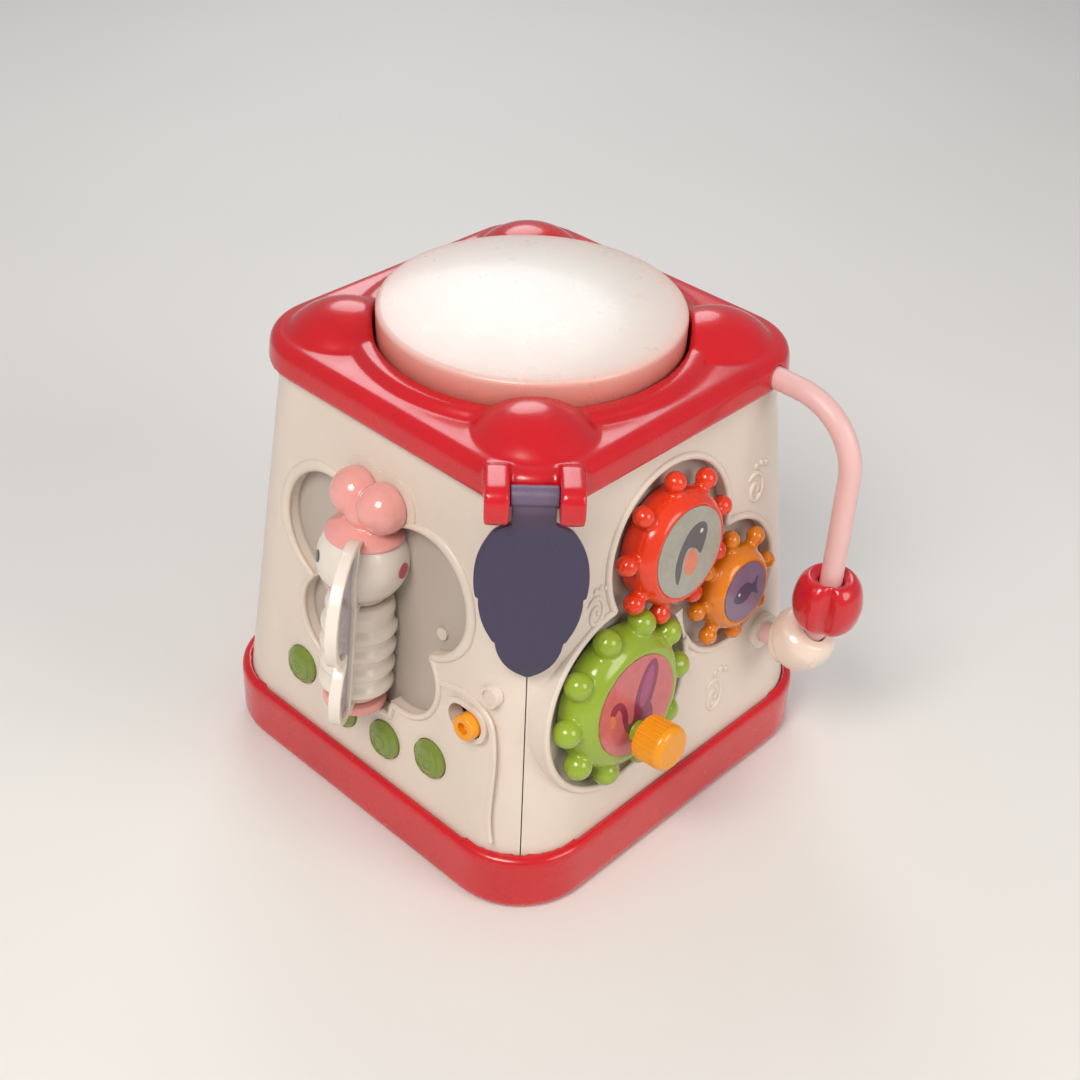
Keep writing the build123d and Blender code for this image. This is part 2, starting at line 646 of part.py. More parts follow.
def page_outline(inset):
    """Wing of two round lobes, cut back to clear the figure; inset shrinks it all round."""
    wing = Sketch()
    for x, y, radius in (UPPER_LOBE, LOWER_LOBE):
        wing += Pos(x, y, 0) * Circle(radius - inset)
    wing += Pos(20.0, 64.0, 0) * Rectangle(9.0 + 2 * max(0.0, 2.0 - inset), 22.0)
    wing -= Pos(0, HEAD_UP, 0) * Circle(HEAD_RADIUS + 0.8 + inset)
    wing -= Pos(0, 56.0, 0) * Rectangle(2 * (TORSO_RADIUS + 0.8 + inset), 60.0)
    wing -= Pos(HAT_SPREAD, HAT_UP, 0) * Circle(HAT_RADIUS + 0.9 + inset)
    wing -= Pos(0, BRIM_UP + 1.0, 0) * Rectangle(2 * (BRIM_RADIUS + 0.8 + inset), 4.0 + 2 * inset)
    return wing


def make_page_frame():
    rim = extrude(page_outline(0) - page_outline(PAGE_RIM), PAGE_THICKNESS / 2, both=True)
    for low, high in ((TAIL_UP + 5.2, TORSO_LOW - 0.4), (TORSO_HIGH + 0.4, NECK_UP - 0.3)):
        middle = (low + high) / 2
        arm = Pos(7.6, middle, 0) * Box(13.4, high - low, PAGE_THICKNESS)
        rim += upright(rod(KNUCKLE_RADIUS, low, high)) + arm
    return page_frame_location() * (rim - pin_bore(20, 90, PIN_CLEARANCE))


def make_page_sheet():
    return page_frame_location() * extrude(page_outline(PAGE_RIM + SHEET_GAP), 0.6, both=True)


# ---------------------------------------------------------------- buttons and slide switch

def make_button(index):
    """Domed cap with a flange behind the panel and a post towards its switch."""
    x, y = BUTTON_PLACES[index]
    cap = rod(BUTTON_RADIUS, -3.6, 1.2)
    rise = 2.2
    dome = dome_radius(BUTTON_RADIUS, rise)
    crown = ball(dome, z=1.2 + rise - dome) & rod(BUTTON_RADIUS, 1.0, 8)
    cap = cap + crown + rod(BUTTON_RADIUS + 1.3, -4.3, -2.9)
    return BUTTERFLY_SIDE * Pos(x, y, 0) * cap


def make_button_board():
    low = -10.8
    board = Pos(0.2, 18.5, low) * slab(86.0, 20.0, 0, BOARD_THICKNESS)
    for x, y in BUTTON_PLACES:
        board += Pos(x, y, low) * (slab(6.2, 6.2, 0, 4.0) + rod(1.8, 3.5, 4.3))
    return BUTTERFLY_SIDE * board


def make_slider_knob():
    x, y = SLIDER_AT
    knob = rod(SLIDER_RADIUS, -SLIDER_GUIDE_DEPTH - 1.0, 5.2)
    knob = fillet(knob.edges().group_by(Axis.Z)[-1], 0.8)
    knob = knob - rod(2.1, 2.2, 8) + slab(12.0, 12.0, -SLIDER_GUIDE_DEPTH - 1.5, -SLIDER_GUIDE_DEPTH - 0.3)
    return BUTTERFLY_SIDE * Pos(x + SLIDER_OFFSET, y, 0) * knob


def make_slide_switch():
    x, y = SLIDER_AT
    switch = slab(16.0, 9.0, -11.5, -6.4) + slab(22.0, 13.0, -13.0, -11.4)
    return BUTTERFLY_SIDE * Pos(x - 1.0, y, 0) * switch


# ---------------------------------------------------------------- gears and crank

def mesh_phase(driver, driver_phase, follower):
    """Phase that puts the follower's balls half a pitch from the driver's at their nearest point."""
    dx = follower["at"][0] - driver["at"][0]
    dy = follower["at"][1] - driver["at"][1]
    heading = math.degrees(math.atan2(dy, dx))
    shift = ((driver_phase - heading) * driver["balls"] / 360.0) % 1.0
    return heading + 180.0 + (0.5 - shift) * 360.0 / follower["balls"]


def gear_body(gear, phase):
    """Domed wheel on the local z axis with balls for teeth."""
    bore = AXLE_RADIUS + PIN_CLEARANCE
    body, disc = gear["body"], gear["disc"]
    seat = GEAR_FRONT - DISC_THICKNESS
    flank = ThreePointArc(
        (body, 0, 0.5),
        ((body * 0.62 + disc * 0.38) + 0.8, 0, GEAR_FRONT * 0.66),
        (disc + 1.0, 0, GEAR_FRONT),
    )
    rest = Polyline([
        (disc + 1.0, 0, GEAR_FRONT), (disc + 0.1, 0, GEAR_FRONT), (disc + 0.1, 0, seat), (AXLE_HEAD + 0.5, 0, seat),
        (AXLE_HEAD + 0.5, 0, seat - 2.3), (bore, 0, seat - 2.3), (bore, 0, GEAR_BACK), (body - 0.8, 0, GEAR_BACK),
        (body, 0, GEAR_BACK + 0.8), (body, 0, 0.5),
    ])
    wheel = revolve(make_face(Curve() + [flank, rest]), Axis.Z)
    for place in around(gear["balls"], gear["ring"], phase):
        wheel += place * Pos(0, 0, BALL_OUT) * Rot(0, 90, 0) * gear_tooth(gear["ball"])
    return wheel


def gear_tooth(radius):
    """Ball with a straight neck behind it, on the local z axis with the neck below."""
    neck = 0.72 * radius
    meet = -math.sqrt(radius ** 2 - neck ** 2)
    dome = ThreePointArc((0, 0, radius), (radius, 0, 0), (neck, 0, meet))
    rest = Polyline([(neck, 0, meet), (neck, 0, -radius - 4.0), (0, 0, -radius - 4.0), (0, 0, radius)])
    return revolve(make_face(Curve() + [dome, rest]), Axis.Z)


def at_gear(gear):
    x, y = gear["at"]
    return GEAR_SIDE * Pos(x, y, 0)


def make_gear(gear, phase, crank=False):
    wheel = gear_body(gear, phase)
    if crank:
        wheel += Pos(0, -POST_DROP, 0) * (rod(POST_RADIUS, 5.0, KNOB_LOW - 0.3) + rod(POST_PIN_RADIUS, 5.0, 21.0))
    return at_gear(gear) * wheel


def make_disc(gear, crank=False):
    disc = rod(gear["disc"], GEAR_FRONT - DISC_THICKNESS, GEAR_FRONT)
    if crank:
        disc -= Pos(0, -POST_DROP, 0) * rod(POST_RADIUS + 0.1, 0, 20)
    return at_gear(gear) * disc


def make_gear_axles():
    head_low = GEAR_FRONT - DISC_THICKNESS - 2.1
    axle = rod(AXLE_RADIUS, -RECESS_DEPTH - 2.0, head_low + 0.2) + rod(AXLE_HEAD, head_low, head_low + 1.6)
    return Compound(children=[at_gear(gear) * axle for gear in (GREEN, RED, ORANGE)])


def make_crank_knob():
    knob = rod(KNOB_RADIUS, KNOB_LOW, KNOB_HIGH)
    knob = fillet(knob.edges().group_by(Axis.Z)[-1], 2.6)
    knob = fillet(knob.edges().group_by(Axis.Z)[0], 0.8)
    for place in around(KNOB_RIBS, KNOB_RADIUS + 0.25):
        knob -= place * rod(0.62, KNOB_LOW - 1, KNOB_HIGH - 2.6)
    knob -= rod(POST_PIN_RADIUS + PIN_CLEARANCE, KNOB_LOW - 1, 21.3)
    return at_gear(GREEN) * Pos(0, -POST_DROP, 0) * knob


# ---------------------------------------------------------------- bead handle

def tube_path():
    """Out of the cover, down beside the gear side and back into the panel."""
    inside = half_at(TUBE_LOW_Z) - 6.0
    corners = [(COVER_HALF - 6.0, TUBE_Y, TUBE_TOP_Z), (TUBE_REACH_X, TUBE_Y, TUBE_TOP_Z),
               (TUBE_REACH_X, TUBE_Y, TUBE_LOW_Z), (inside, TUBE_Y, TUBE_LOW_Z)]
    return FilletPolyline(*corners, radius=[TUBE_TOP_BEND, TUBE_LOW_BEND])


def make_bead_tube():
    path = tube_path()
    return sweep(Plane(origin=path @ 0, z_dir=path % 0) * Circle(TUBE_RADIUS), path=path)


def make_bead_collar():
    """Round flange where the tube enters the panel."""
    disc = ring(6.8, TUBE_RADIUS + PRESS_GAP, -3.0, 2.4)
    disc = Pos(half_at(TUBE_LOW_Z), TUBE_Y, TUBE_LOW_Z) * Rot(0, 90, 0) * disc
    return disc - body_block(PANEL_BOTTOM, PANEL_TOP, 0)


def make_bead_red():
    """Round bead with flat ends and a waist groove, on the straight run."""
    bead = ball(RED_BEAD_RADIUS) & slab(40, 40, -0.87 * RED_BEAD_RADIUS, 0.87 * RED_BEAD_RADIUS)
    bead -= Rot(0, 90, 0) * ring(RED_BEAD_RADIUS + 3, RED_BEAD_RADIUS - 0.7, -0.8, 0.8)
    return Pos(TUBE_REACH_X, TUBE_Y, RED_BEAD_Z) * (bead - rod(TUBE_RADIUS + BEAD_CLEARANCE, -20, 20))


def bent_band(radius, start, end):
    """Length of a bent round bar about the centre of the tube's lower bend, between two angles."""
    bar = revolve(Pos(TUBE_LOW_BEND, 0, 0) * Circle(radius), Axis.Y, end - start)
    centre = Pos(TUBE_REACH_X - TUBE_LOW_BEND, TUBE_Y, TUBE_LOW_Z + TUBE_LOW_BEND)
    return centre * Rot(0, WHITE_BEAD_ANGLE + start, 0) * bar


def make_bead_white():
    """Stepped barrel bent to follow the tube's lower bend."""
    bead = bent_band(*WHITE_BEAD_BANDS[0]) + bent_band(*WHITE_BEAD_BANDS[1])
    return bead - bent_band(WHITE_BEAD_BORE, -30.0, 30.0)


# ---------------------------------------------------------------- far sides

def at_clock():
    return CLOCK_SIDE * Pos(0, CLOCK_UP, -RECESS_DEPTH)


def make_clock_dial():
    dial = rod(DIAL_RADIUS, 0, 1.6) - rod(2.0 + PRESS_GAP, -1, 3)
    for i, place in enumerate(around(12, DIAL_RADIUS - 5.5)):
        dial += place * rod(2.2 if i % 3 == 0 else 1.3, 1.0, 2.3)
    return at_clock() * dial


def hand(length, width, low, high, angle):
    """Rounded pointer from the pin outwards."""
    blade = Pos(0, length / 2 - 3, low) * extrude(SlotOverall(length, width, rotation=90), high - low)
    blade = blade + rod(5.4, low, high) - rod(2.0 + PIN_CLEARANCE, low - 1, high + 1)
    return at_clock() * Rot(0, 0, angle) * blade


def make_clock_pin():
    return at_clock() * (rod(2.0, -2.0, 8.0) + rod(4.2, 7.2, 9.4))


def at_roller():
    return ROLLER_SIDE * Pos(0, ROLLER_UP, ROLLER_OUT) * Rot(0, 90, 0)


def make_roller():
    half = ROLLER_LENGTH / 2 - 0.7
    drum = rod(ROLLER_RADIUS - 1.6, -half, half)
    for place in around(8, ROLLER_RADIUS - 2.6):
        drum += place * rod(2.6, -half, half)
    return at_roller() * (drum - rod(ROLLER_AXLE_RADIUS + PIN_CLEARANCE, -half - 1, half + 1))


def make_roller_axle():
    half = ROLLER_LENGTH / 2 + 2.7
    return at_roller() * rod(ROLLER_AXLE_RADIUS, -half, half)


def build_all():
    green_phase = mesh_phase(RED, RED_PHASE, GREEN)
    orange_phase = mesh_phase(RED, RED_PHASE, ORANGE)
    parts = {
        "base_tray": make_base_tray(),
        "battery_door": make_battery_door(),
        "battery_door_screw": make_battery_door_screw(),
        "batteries": make_batteries(),
        "battery_contacts": make_battery_contacts(),
        "main_board": make_main_board(),
        "main_board_screws": make_main_board_screws(),
        "speaker": make_speaker(),
        "panel_screws": make_panel_screws(),
        "panel_butterfly": make_panel_butterfly(),
        "panel_gears": make_panel_gears(),
        "panel_clock": make_panel_clock(),
        "panel_roller": make_panel_roller(),
        "top_cover": make_top_cover(),
        "drum_pad": make_drum_pad(),
        "drum_bumper": make_drum_bumper(),
        "drum_light_board": make_drum_light_board(),
        "leaf_flap": make_leaf_flap(),
        "leaf_hinge_pin": leaf_pin_rod(),
        "figure_head": make_figure_head(),
        "figure_eyes": make_figure_eyes(),
        "figure_cheeks": make_figure_cheeks(),
        "figure_hat": make_figure_hat(),
        "figure_body": make_figure_body(),
        "figure_tail": make_figure_tail(),
        "page_hinge_pin": make_page_hinge_pin(),
        "page_frame": make_page_frame(),
        "page_sheet": make_page_sheet(),
        "button_board": make_button_board(),
        "slider_knob": make_slider_knob(),
        "slide_switch": make_slide_switch(),
        "gear_green": make_gear(GREEN, green_phase, crank=True),
        "gear_red": make_gear(RED, RED_PHASE),
        "gear_orange": make_gear(ORANGE, orange_phase),
        "gear_green_disc": make_disc(GREEN, crank=True),
        "gear_red_disc": make_disc(RED),
        "gear_orange_disc": make_disc(ORANGE),
        "gear_axles": make_gear_axles(),
        "crank_knob": make_crank_knob(),
        "bead_tube": make_bead_tube(),
        "bead_collar": make_bead_collar(),
        "bead_red": make_bead_red(),
        "bead_white": make_bead_white(),
        "clock_dial": make_clock_dial(),
        "clock_hour_hand": hand(**HOUR_HAND),
        "clock_minute_hand": hand(**MINUTE_HAND),
        "clock_pin": make_clock_pin(),
        "roller": make_roller(),
        "roller_axle": make_roller_axle(),
    }
    for index in range(len(BUTTON_PLACES)):
        parts[f"button_{index + 1}"] = make_button(index)
    return parts


os.makedirs("parts", exist_ok=True)
for name, shape in build_all().items():
    export_step(shape, f"parts/{name}.step")
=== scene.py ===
import json
import math

import bmesh
import bpy
from mathutils import Matrix, Vector


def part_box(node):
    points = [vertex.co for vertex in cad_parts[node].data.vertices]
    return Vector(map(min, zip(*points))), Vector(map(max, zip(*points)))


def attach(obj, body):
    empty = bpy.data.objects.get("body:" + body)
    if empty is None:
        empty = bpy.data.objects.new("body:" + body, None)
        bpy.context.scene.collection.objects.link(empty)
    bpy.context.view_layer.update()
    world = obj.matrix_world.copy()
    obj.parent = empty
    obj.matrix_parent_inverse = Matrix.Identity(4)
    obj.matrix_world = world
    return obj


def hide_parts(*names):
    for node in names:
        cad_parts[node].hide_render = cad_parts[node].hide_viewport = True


# Looks for the baby activity cube. Metres, in the CAD frame: +Z up, the butterfly side towards -Y,
# the gear side towards +X, the clock side towards +Y and the roller side towards -X.

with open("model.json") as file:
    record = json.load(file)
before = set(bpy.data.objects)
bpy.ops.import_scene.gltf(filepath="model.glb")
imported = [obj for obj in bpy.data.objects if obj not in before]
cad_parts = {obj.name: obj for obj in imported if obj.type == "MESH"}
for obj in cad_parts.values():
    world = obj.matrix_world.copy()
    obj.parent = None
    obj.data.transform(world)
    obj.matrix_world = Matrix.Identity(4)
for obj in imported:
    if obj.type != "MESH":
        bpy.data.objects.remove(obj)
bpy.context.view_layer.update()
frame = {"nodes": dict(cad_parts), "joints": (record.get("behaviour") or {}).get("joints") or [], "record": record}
MM = 0.001
FULL_TURN = 2 * math.pi

JOINTS = {joint["name"]: joint for joint in frame["joints"]}


# ---------------------------------------------------------------- places on the four sides

class Side:
    """Flat side of the body: x runs along it, up runs up the slope and out stands off it."""

    def __init__(self, normal, through, x, up, out=0.0):
        self.out = Vector(normal).normalized()
        self.x = Vector((0, 0, 1)).cross(self.out).normalized()
        self.up = self.out.cross(self.x)
        self.origin = Vector(through) - (self.x * x + self.up * up + self.out * out) * MM

    def at(self, x, up, out=0.0):
        """Point given in millimetres on the side."""
        return self.origin + (self.x * x + self.up * up + self.out * out) * MM

    def frame(self, x, up, out=0.0):
        """Matrix whose local axes are along, up the slope and out, at a point on the side."""
        matrix = Matrix((self.x, self.up, self.out)).transposed().to_4x4()
        matrix.translation = self.at(x, up, out)
        return matrix


GREEN_AT = (-31.0, 48.8)
GEARS = Side(JOINTS["green_spin"]["axis"], JOINTS["green_spin"]["pos_m"], *GREEN_AT)
PAGE_OUT = 5.0
BUTTON_IN = Vector(JOINTS["button_1_press"]["axis"])
BUTTERFLY = Side(-BUTTON_IN, JOINTS["page_turn"]["pos_m"], 0.0, 60.0, PAGE_OUT)
CLOCK_UP = 70.0
DIAL_OUT = -5.0
CLOCK_JOINT = JOINTS["clock_hour_turn"]
CLOCK = Side(CLOCK_JOINT["axis"], CLOCK_JOINT["pos_m"], 0.0, CLOCK_UP, DIAL_OUT)
ROLLER_UP = 62.0
ROLLER_OUT = -9.0
ROLLER_NORMAL = Vector((-GEARS.out.x, 0, GEARS.out.z))
ROLLER = Side(ROLLER_NORMAL, JOINTS["roller_spin"]["pos_m"], 0.0, ROLLER_UP, ROLLER_OUT)


# ---------------------------------------------------------------- node materials

class Shader:
    """Principled material with small helpers for wiring its texture nodes."""

    def __init__(self, name):
        self.material = bpy.data.materials.new(name)
        self.material.use_nodes = True
        self.nodes = self.material.node_tree.nodes
        self.links = self.material.node_tree.links
        self.surface = self.nodes["Principled BSDF"]
        self.place = self.nodes.new("ShaderNodeTexCoord").outputs["Object"]

    def set(self, **values):
        for key, value in values.items():
            self.surface.inputs[key.replace("_", " ")].default_value = value

    def noise(self, scale, detail=3.0, rough=0.5, distortion=0.0, stretch=None):
        node = self.nodes.new("ShaderNodeTexNoise")
        node.inputs["Scale"].default_value = scale
        node.inputs["Detail"].default_value = detail
        node.inputs["Roughness"].default_value = rough
        node.inputs["Distortion"].default_value = distortion
        place = self.place
        if stretch:
            mapping = self.nodes.new("ShaderNodeMapping")
            mapping.inputs["Scale"].default_value = stretch
            self.links.new(self.place, mapping.inputs["Vector"])
            place = mapping.outputs["Vector"]
        self.links.new(place, node.inputs["Vector"])
        return node.outputs["Fac"]

    def ramp(self, value, stops):
        """Colour or grey from a value, with (position, colour) stops."""
        node = self.nodes.new("ShaderNodeValToRGB")
        elements = node.color_ramp.elements
        while len(elements) < len(stops):
            elements.new(0.5)
        for element, (position, colour) in zip(elements, stops):
            element.position = position
            element.color = (*colour, 1) if len(colour) == 3 else colour
        self.links.new(value, node.inputs["Fac"])
        return node.outputs["Color"]

    def span(self, value, low, high, start=0.0, end=1.0):
        """Value mapped from start..end to low..high."""
        node = self.nodes.new("ShaderNodeMapRange")
        for key, number in (("From Min", start), ("From Max", end), ("To Min", low), ("To Max", high)):
            node.inputs[key].default_value = number
        self.links.new(value, node.inputs["Value"])
        return node.outputs["Result"]

    def math(self, operation, *values):
        node = self.nodes.new("ShaderNodeMath")
        node.operation = operation
        for socket, value in zip(node.inputs, values):
            if isinstance(value, bpy.types.NodeSocket):
                self.links.new(value, socket)
            else:
                socket.default_value = value
        return node.outputs["Value"]

    def mix(self, factor, first, second):
        node = self.nodes.new("ShaderNodeMix")
        node.data_type = "RGBA"
        for key, value in (("Factor", factor), ("A", first), ("B", second)):
            socket = [s for s in node.inputs if s.name == key and s.enabled][0]
            if isinstance(value, bpy.types.NodeSocket):
                self.links.new(value, socket)
            else:
                socket.default_value = (*value, 1) if isinstance(value, tuple) else value
        return [s for s in node.outputs if s.enabled][0]

    def height(self, *layers):
        """Bump from (value, millimetres) layers, one on another."""
        normal = None
        for value, depth in layers:
            node = self.nodes.new("ShaderNodeBump")
            node.inputs["Strength"].default_value = 1.0
            node.inputs["Distance"].default_value = depth * MM
            self.links.new(value, node.inputs["Height"])
            if normal is not None:
                self.links.new(normal, node.inputs["Normal"])
            normal = node.outputs["Normal"]
        self.links.new(normal, self.surface.inputs["Normal"])

    def colour(self, value):
        self.links.new(value, self.surface.inputs["Base Color"])

    def roughness(self, value):
        self.links.new(value, self.surface.inputs["Roughness"])

    def upness(self):
        """Height above the ground in metres."""
        node = self.nodes.new("ShaderNodeSeparateXYZ")
        self.links.new(self.place, node.inputs["Vector"])
        return node.outputs["Z"]


def tint(colour, factor):
    return tuple(min(1.0, channel * factor) for channel in colour)


LIP_Z = 23.3
HALF_AT_LIP = 80.0
CORNER_AT_LIP = 27.0
CORNER_SHRINK = 3.0 / 132.7


def depth_behind_wall(shader):
    """Metres behind the outside of the tapered, round-cornered wall."""
    split = shader.nodes.new("ShaderNodeSeparateXYZ")
    shader.links.new(shader.place, split.inputs["Vector"])
    rise = shader.math("SUBTRACT", split.outputs["Z"], LIP_Z * MM)
    shrink = GEARS.out.z / GEARS.out.x
    half = shader.math("SUBTRACT", HALF_AT_LIP * MM, shader.math("MULTIPLY", rise, shrink))
    corner = shader.math("SUBTRACT", CORNER_AT_LIP * MM, shader.math("MULTIPLY", rise, CORNER_SHRINK))
    straight = shader.math("SUBTRACT", half, corner)
    past = []
    for axis in "XY":
        side = shader.math("SUBTRACT", shader.math("ABSOLUTE", split.outputs[axis]), straight)
        past.append(shader.math("MAXIMUM", side, 0.0))
    squares = [shader.math("POWER", value, 2.0) for value in past]
    reach = shader.math("SQRT", shader.math("ADD", *squares))
    return shader.math("SUBTRACT", corner, reach)


# Painted shade: depths behind the wall, in millimetres, over which recess floors fade to the darker shade colour.
RECESS_SHADE_STARTS = 3.6
RECESS_SHADE_FULL = 4.6


def plastic(name, colour, roughness=0.28, shift=0.10, grain=0.006, coat=0.0, glow=0.0, painted_recess_shade=None):
    """Moulded plastic: faint flow marks in its colour, uneven gloss, hairline scuffs and a fine skin.

    Recess floors deep behind the wall are darkened with painted shade, where a shade colour is given.
    """
    shader = Shader(name)
    flow = shader.noise(26.0, 4.0, 0.55, 0.6)
    tones = [(0.25, tint(colour, 1 - shift)), (0.55, colour), (0.8, tint(colour, 1 + shift))]
    base = shader.ramp(flow, tones)
    scuff = shader.noise(900.0, 2.0, 0.4, 0.0, (1.0, 0.12, 0.35))
    scuffed = shader.span(scuff, 0.0, 1.0, 0.62, 0.72)
    base = shader.mix(shader.span(scuffed, 0.0, 0.03), base, tint(colour, 1.4))
    # Painted shade: recess floors deep behind the wall are mixed towards the darker shade colour.
    if painted_recess_shade:
        recess_shade_mask = shader.span(depth_behind_wall(shader), 0.0, 1.0, RECESS_SHADE_STARTS * MM, RECESS_SHADE_FULL * MM)
        base = shader.mix(recess_shade_mask, base, painted_recess_shade)
    shader.colour(base)
    uneven = shader.noise(85.0, 5.0, 0.6)
    skin = shader.noise(2600.0, 2.0, 0.5)
    gloss = shader.span(uneven, roughness * 0.78, roughness * 1.3, 0.3, 0.7)
    shader.roughness(gloss)
    shader.height((uneven, 0.03), (skin, grain))
    shader.set(IOR=1.5, Coat_Weight=coat, Coat_Roughness=0.08)
    if glow:
        shader.set(Subsurface_Weight=glow, Subsurface_Scale=0.004, Subsurface_Radius=(1.0, 0.6, 0.5))
    return shader.material


def metal(name, colour, roughness=0.3):
    """Plated steel with fine draw lines and dull patches."""
    shader = Shader(name)
    lines = shader.noise(1500.0, 2.0, 0.5, 0.0, (1.0, 1.0, 0.08))
    dull = shader.noise(140.0, 4.0)
    shader.colour(shader.ramp(dull, [(0.3, tint(colour, 0.85)), (0.7, colour)]))
    shader.roughness(shader.span(dull, roughness * 0.8, roughness * 1.4, 0.3, 0.7))
    shader.height((lines, 0.01))
    shader.set(Metallic=1.0)
    return shader.material


def milky_drum():
    """Drum skin: milk white on top, its wall painted pink to dark red low down as the glow of the red well through
    the translucent plastic.
    """
    shader = Shader("drum_milk")
    low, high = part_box("drum_pad")
    wall_to_top = shader.span(shader.upness(), 0.0, 1.0, low.z, high.z)
    # Painted light: pink to dark red low on the wall for the red well's glow through the skin, milk white on top.
    tone = shader.ramp(wall_to_top, [(0.0, (0.50, 0.07, 0.06)), (0.45, (0.74, 0.26, 0.21)),
                                     (0.70, (0.78, 0.40, 0.35)), (0.80, (0.80, 0.66, 0.61)),
                                     (0.95, (0.80, 0.75, 0.71))])
    cloud = shader.noise(30.0, 4.0)
    shader.colour(shader.mix(shader.span(cloud, 0.0, 0.12), tone, (0.70, 0.60, 0.56)))
    uneven = shader.noise(110.0, 4.0)
    skin = shader.noise(2200.0, 2.0)
    shader.roughness(shader.span(uneven, 0.26, 0.34, 0.3, 0.7))
    shader.height((uneven, 0.008), (skin, 0.003))
    shader.set(Subsurface_Weight=0.4, Subsurface_Scale=0.008, Coat_Weight=0.2, Coat_Roughness=0.10)
    return shader.material


def smoky_leaf():
    """Dark violet plastic with a fine satin speckle, with painted light through the thin neck making it paler
    towards the hinge.
    """
    shader = Shader("leaf_violet")
    low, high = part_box("leaf_flap")
    along = shader.span(shader.upness(), 0.0, 1.0, low.z, high.z)
    # Painted light: paler violet near the hinge for light showing through the thin neck.
    tone = shader.ramp(along, [(0.0, (0.046, 0.038, 0.078)), (0.74, (0.043, 0.036, 0.080)),
                               (0.86, (0.075, 0.045, 0.085)), (0.93, (0.17, 0.12, 0.20))])
    speckle = shader.noise(1400.0, 3.0, 0.6)
    cloud = shader.noise(38.0, 3.0, 0.5)
    shade = shader.mix(shader.span(speckle, 0.0, 0.35, 0.4, 0.8), tone, (0.080, 0.066, 0.125))
    shader.colour(shader.mix(shader.span(cloud, 0.0, 0.25, 0.35, 0.7), shade, (0.060, 0.050, 0.105)))
    shader.roughness(shader.span(cloud, 0.40, 0.50, 0.3, 0.7))
    shader.height((speckle, 0.006))
    shader.set(IOR=1.46, Coat_Weight=0.08, Coat_Roughness=0.3)
    return shader.material


def page_film():
    """Lilac-grey sheet, faintly see-through, with a soft printed mottle."""
    shader = Shader("page_film")
    cloud = shader.noise(60.0, 4.0, 0.6, 0.5)
    shader.colour(shader.ramp(cloud, [(0.3, (0.30, 0.28, 0.36)), (0.7, (0.42, 0.39, 0.46))]))
    uneven = shader.noise(160.0, 4.0)
    shader.roughness(shader.span(uneven, 0.10, 0.24, 0.3, 0.7))
    shader.height((uneven, 0.03))
    shader.set(Transmission_Weight=0.25, Coat_Weight=0.4, Coat_Roughness=0.05)
    return shader.material


def printed(name, colour, fleck):
    """Paper print under clear film: soft ink variation, paper fibre and a glossy coat."""
    shader = Shader(name)
    cloud = shader.noise(220.0, 5.0, 0.6, 0.3)
    fibre = shader.noise(3200.0, 2.0, 0.6, 0.0, (1.0, 0.25, 1.0))
    ink = shader.ramp(cloud, [(0.3, tint(colour, 0.86)), (0.7, tint(colour, 1.08))])
    shader.colour(shader.mix(shader.span(fibre, 0.0, 0.25, 0.45, 0.75), ink, fleck))
    shader.roughness(shader.span(cloud, 0.32, 0.46, 0.3, 0.7))
    shader.height((fibre, 0.006))
    shader.set(Coat_Weight=0.6, Coat_Roughness=0.12)
    return shader.material


def rubber(name, colour):
    """Dull foam with uneven tone and an open grain."""
    shader = Shader(name)
    cloud = shader.noise(90.0, 5.0, 0.6)
    grain = shader.noise(1500.0, 4.0, 0.7)
    shader.colour(shader.ramp(cloud, [(0.3, colour), (0.75, tint(colour, 1.7))]))
    shader.roughness(shader.span(cloud, 0.62, 0.85, 0.3, 0.7))
    shader.height((grain, 0.03))
    return shader.material


def circuit(name):
    """Green lacquered board with copper tracks under the lacquer."""
    shader = Shader(name)
    tracks = shader.nodes.new("ShaderNodeTexBrick")
    tracks.inputs["Scale"].default_value = 110.0
    tracks.inputs["Mortar Size"].default_value = 0.018
    shader.links.new(shader.place, tracks.inputs["Vector"])
    green = shader.ramp(shader.noise(60.0), [(0.3, (0.012, 0.10, 0.035)), (0.7, (0.02, 0.17, 0.06))])
    shader.colour(shader.mix(tracks.outputs["Fac"], green, (0.09, 0.26, 0.07)))
    shader.roughness(shader.span(shader.noise(200.0), 0.25, 0.45, 0.3, 0.7))
    shader.height((tracks.outputs["Fac"], 0.03))
    return shader.material


RED = (0.60, 0.004, 0.012)
WARM_WHITE = (0.76, 0.66, 0.575)
PINK = (0.87, 0.39, 0.36)

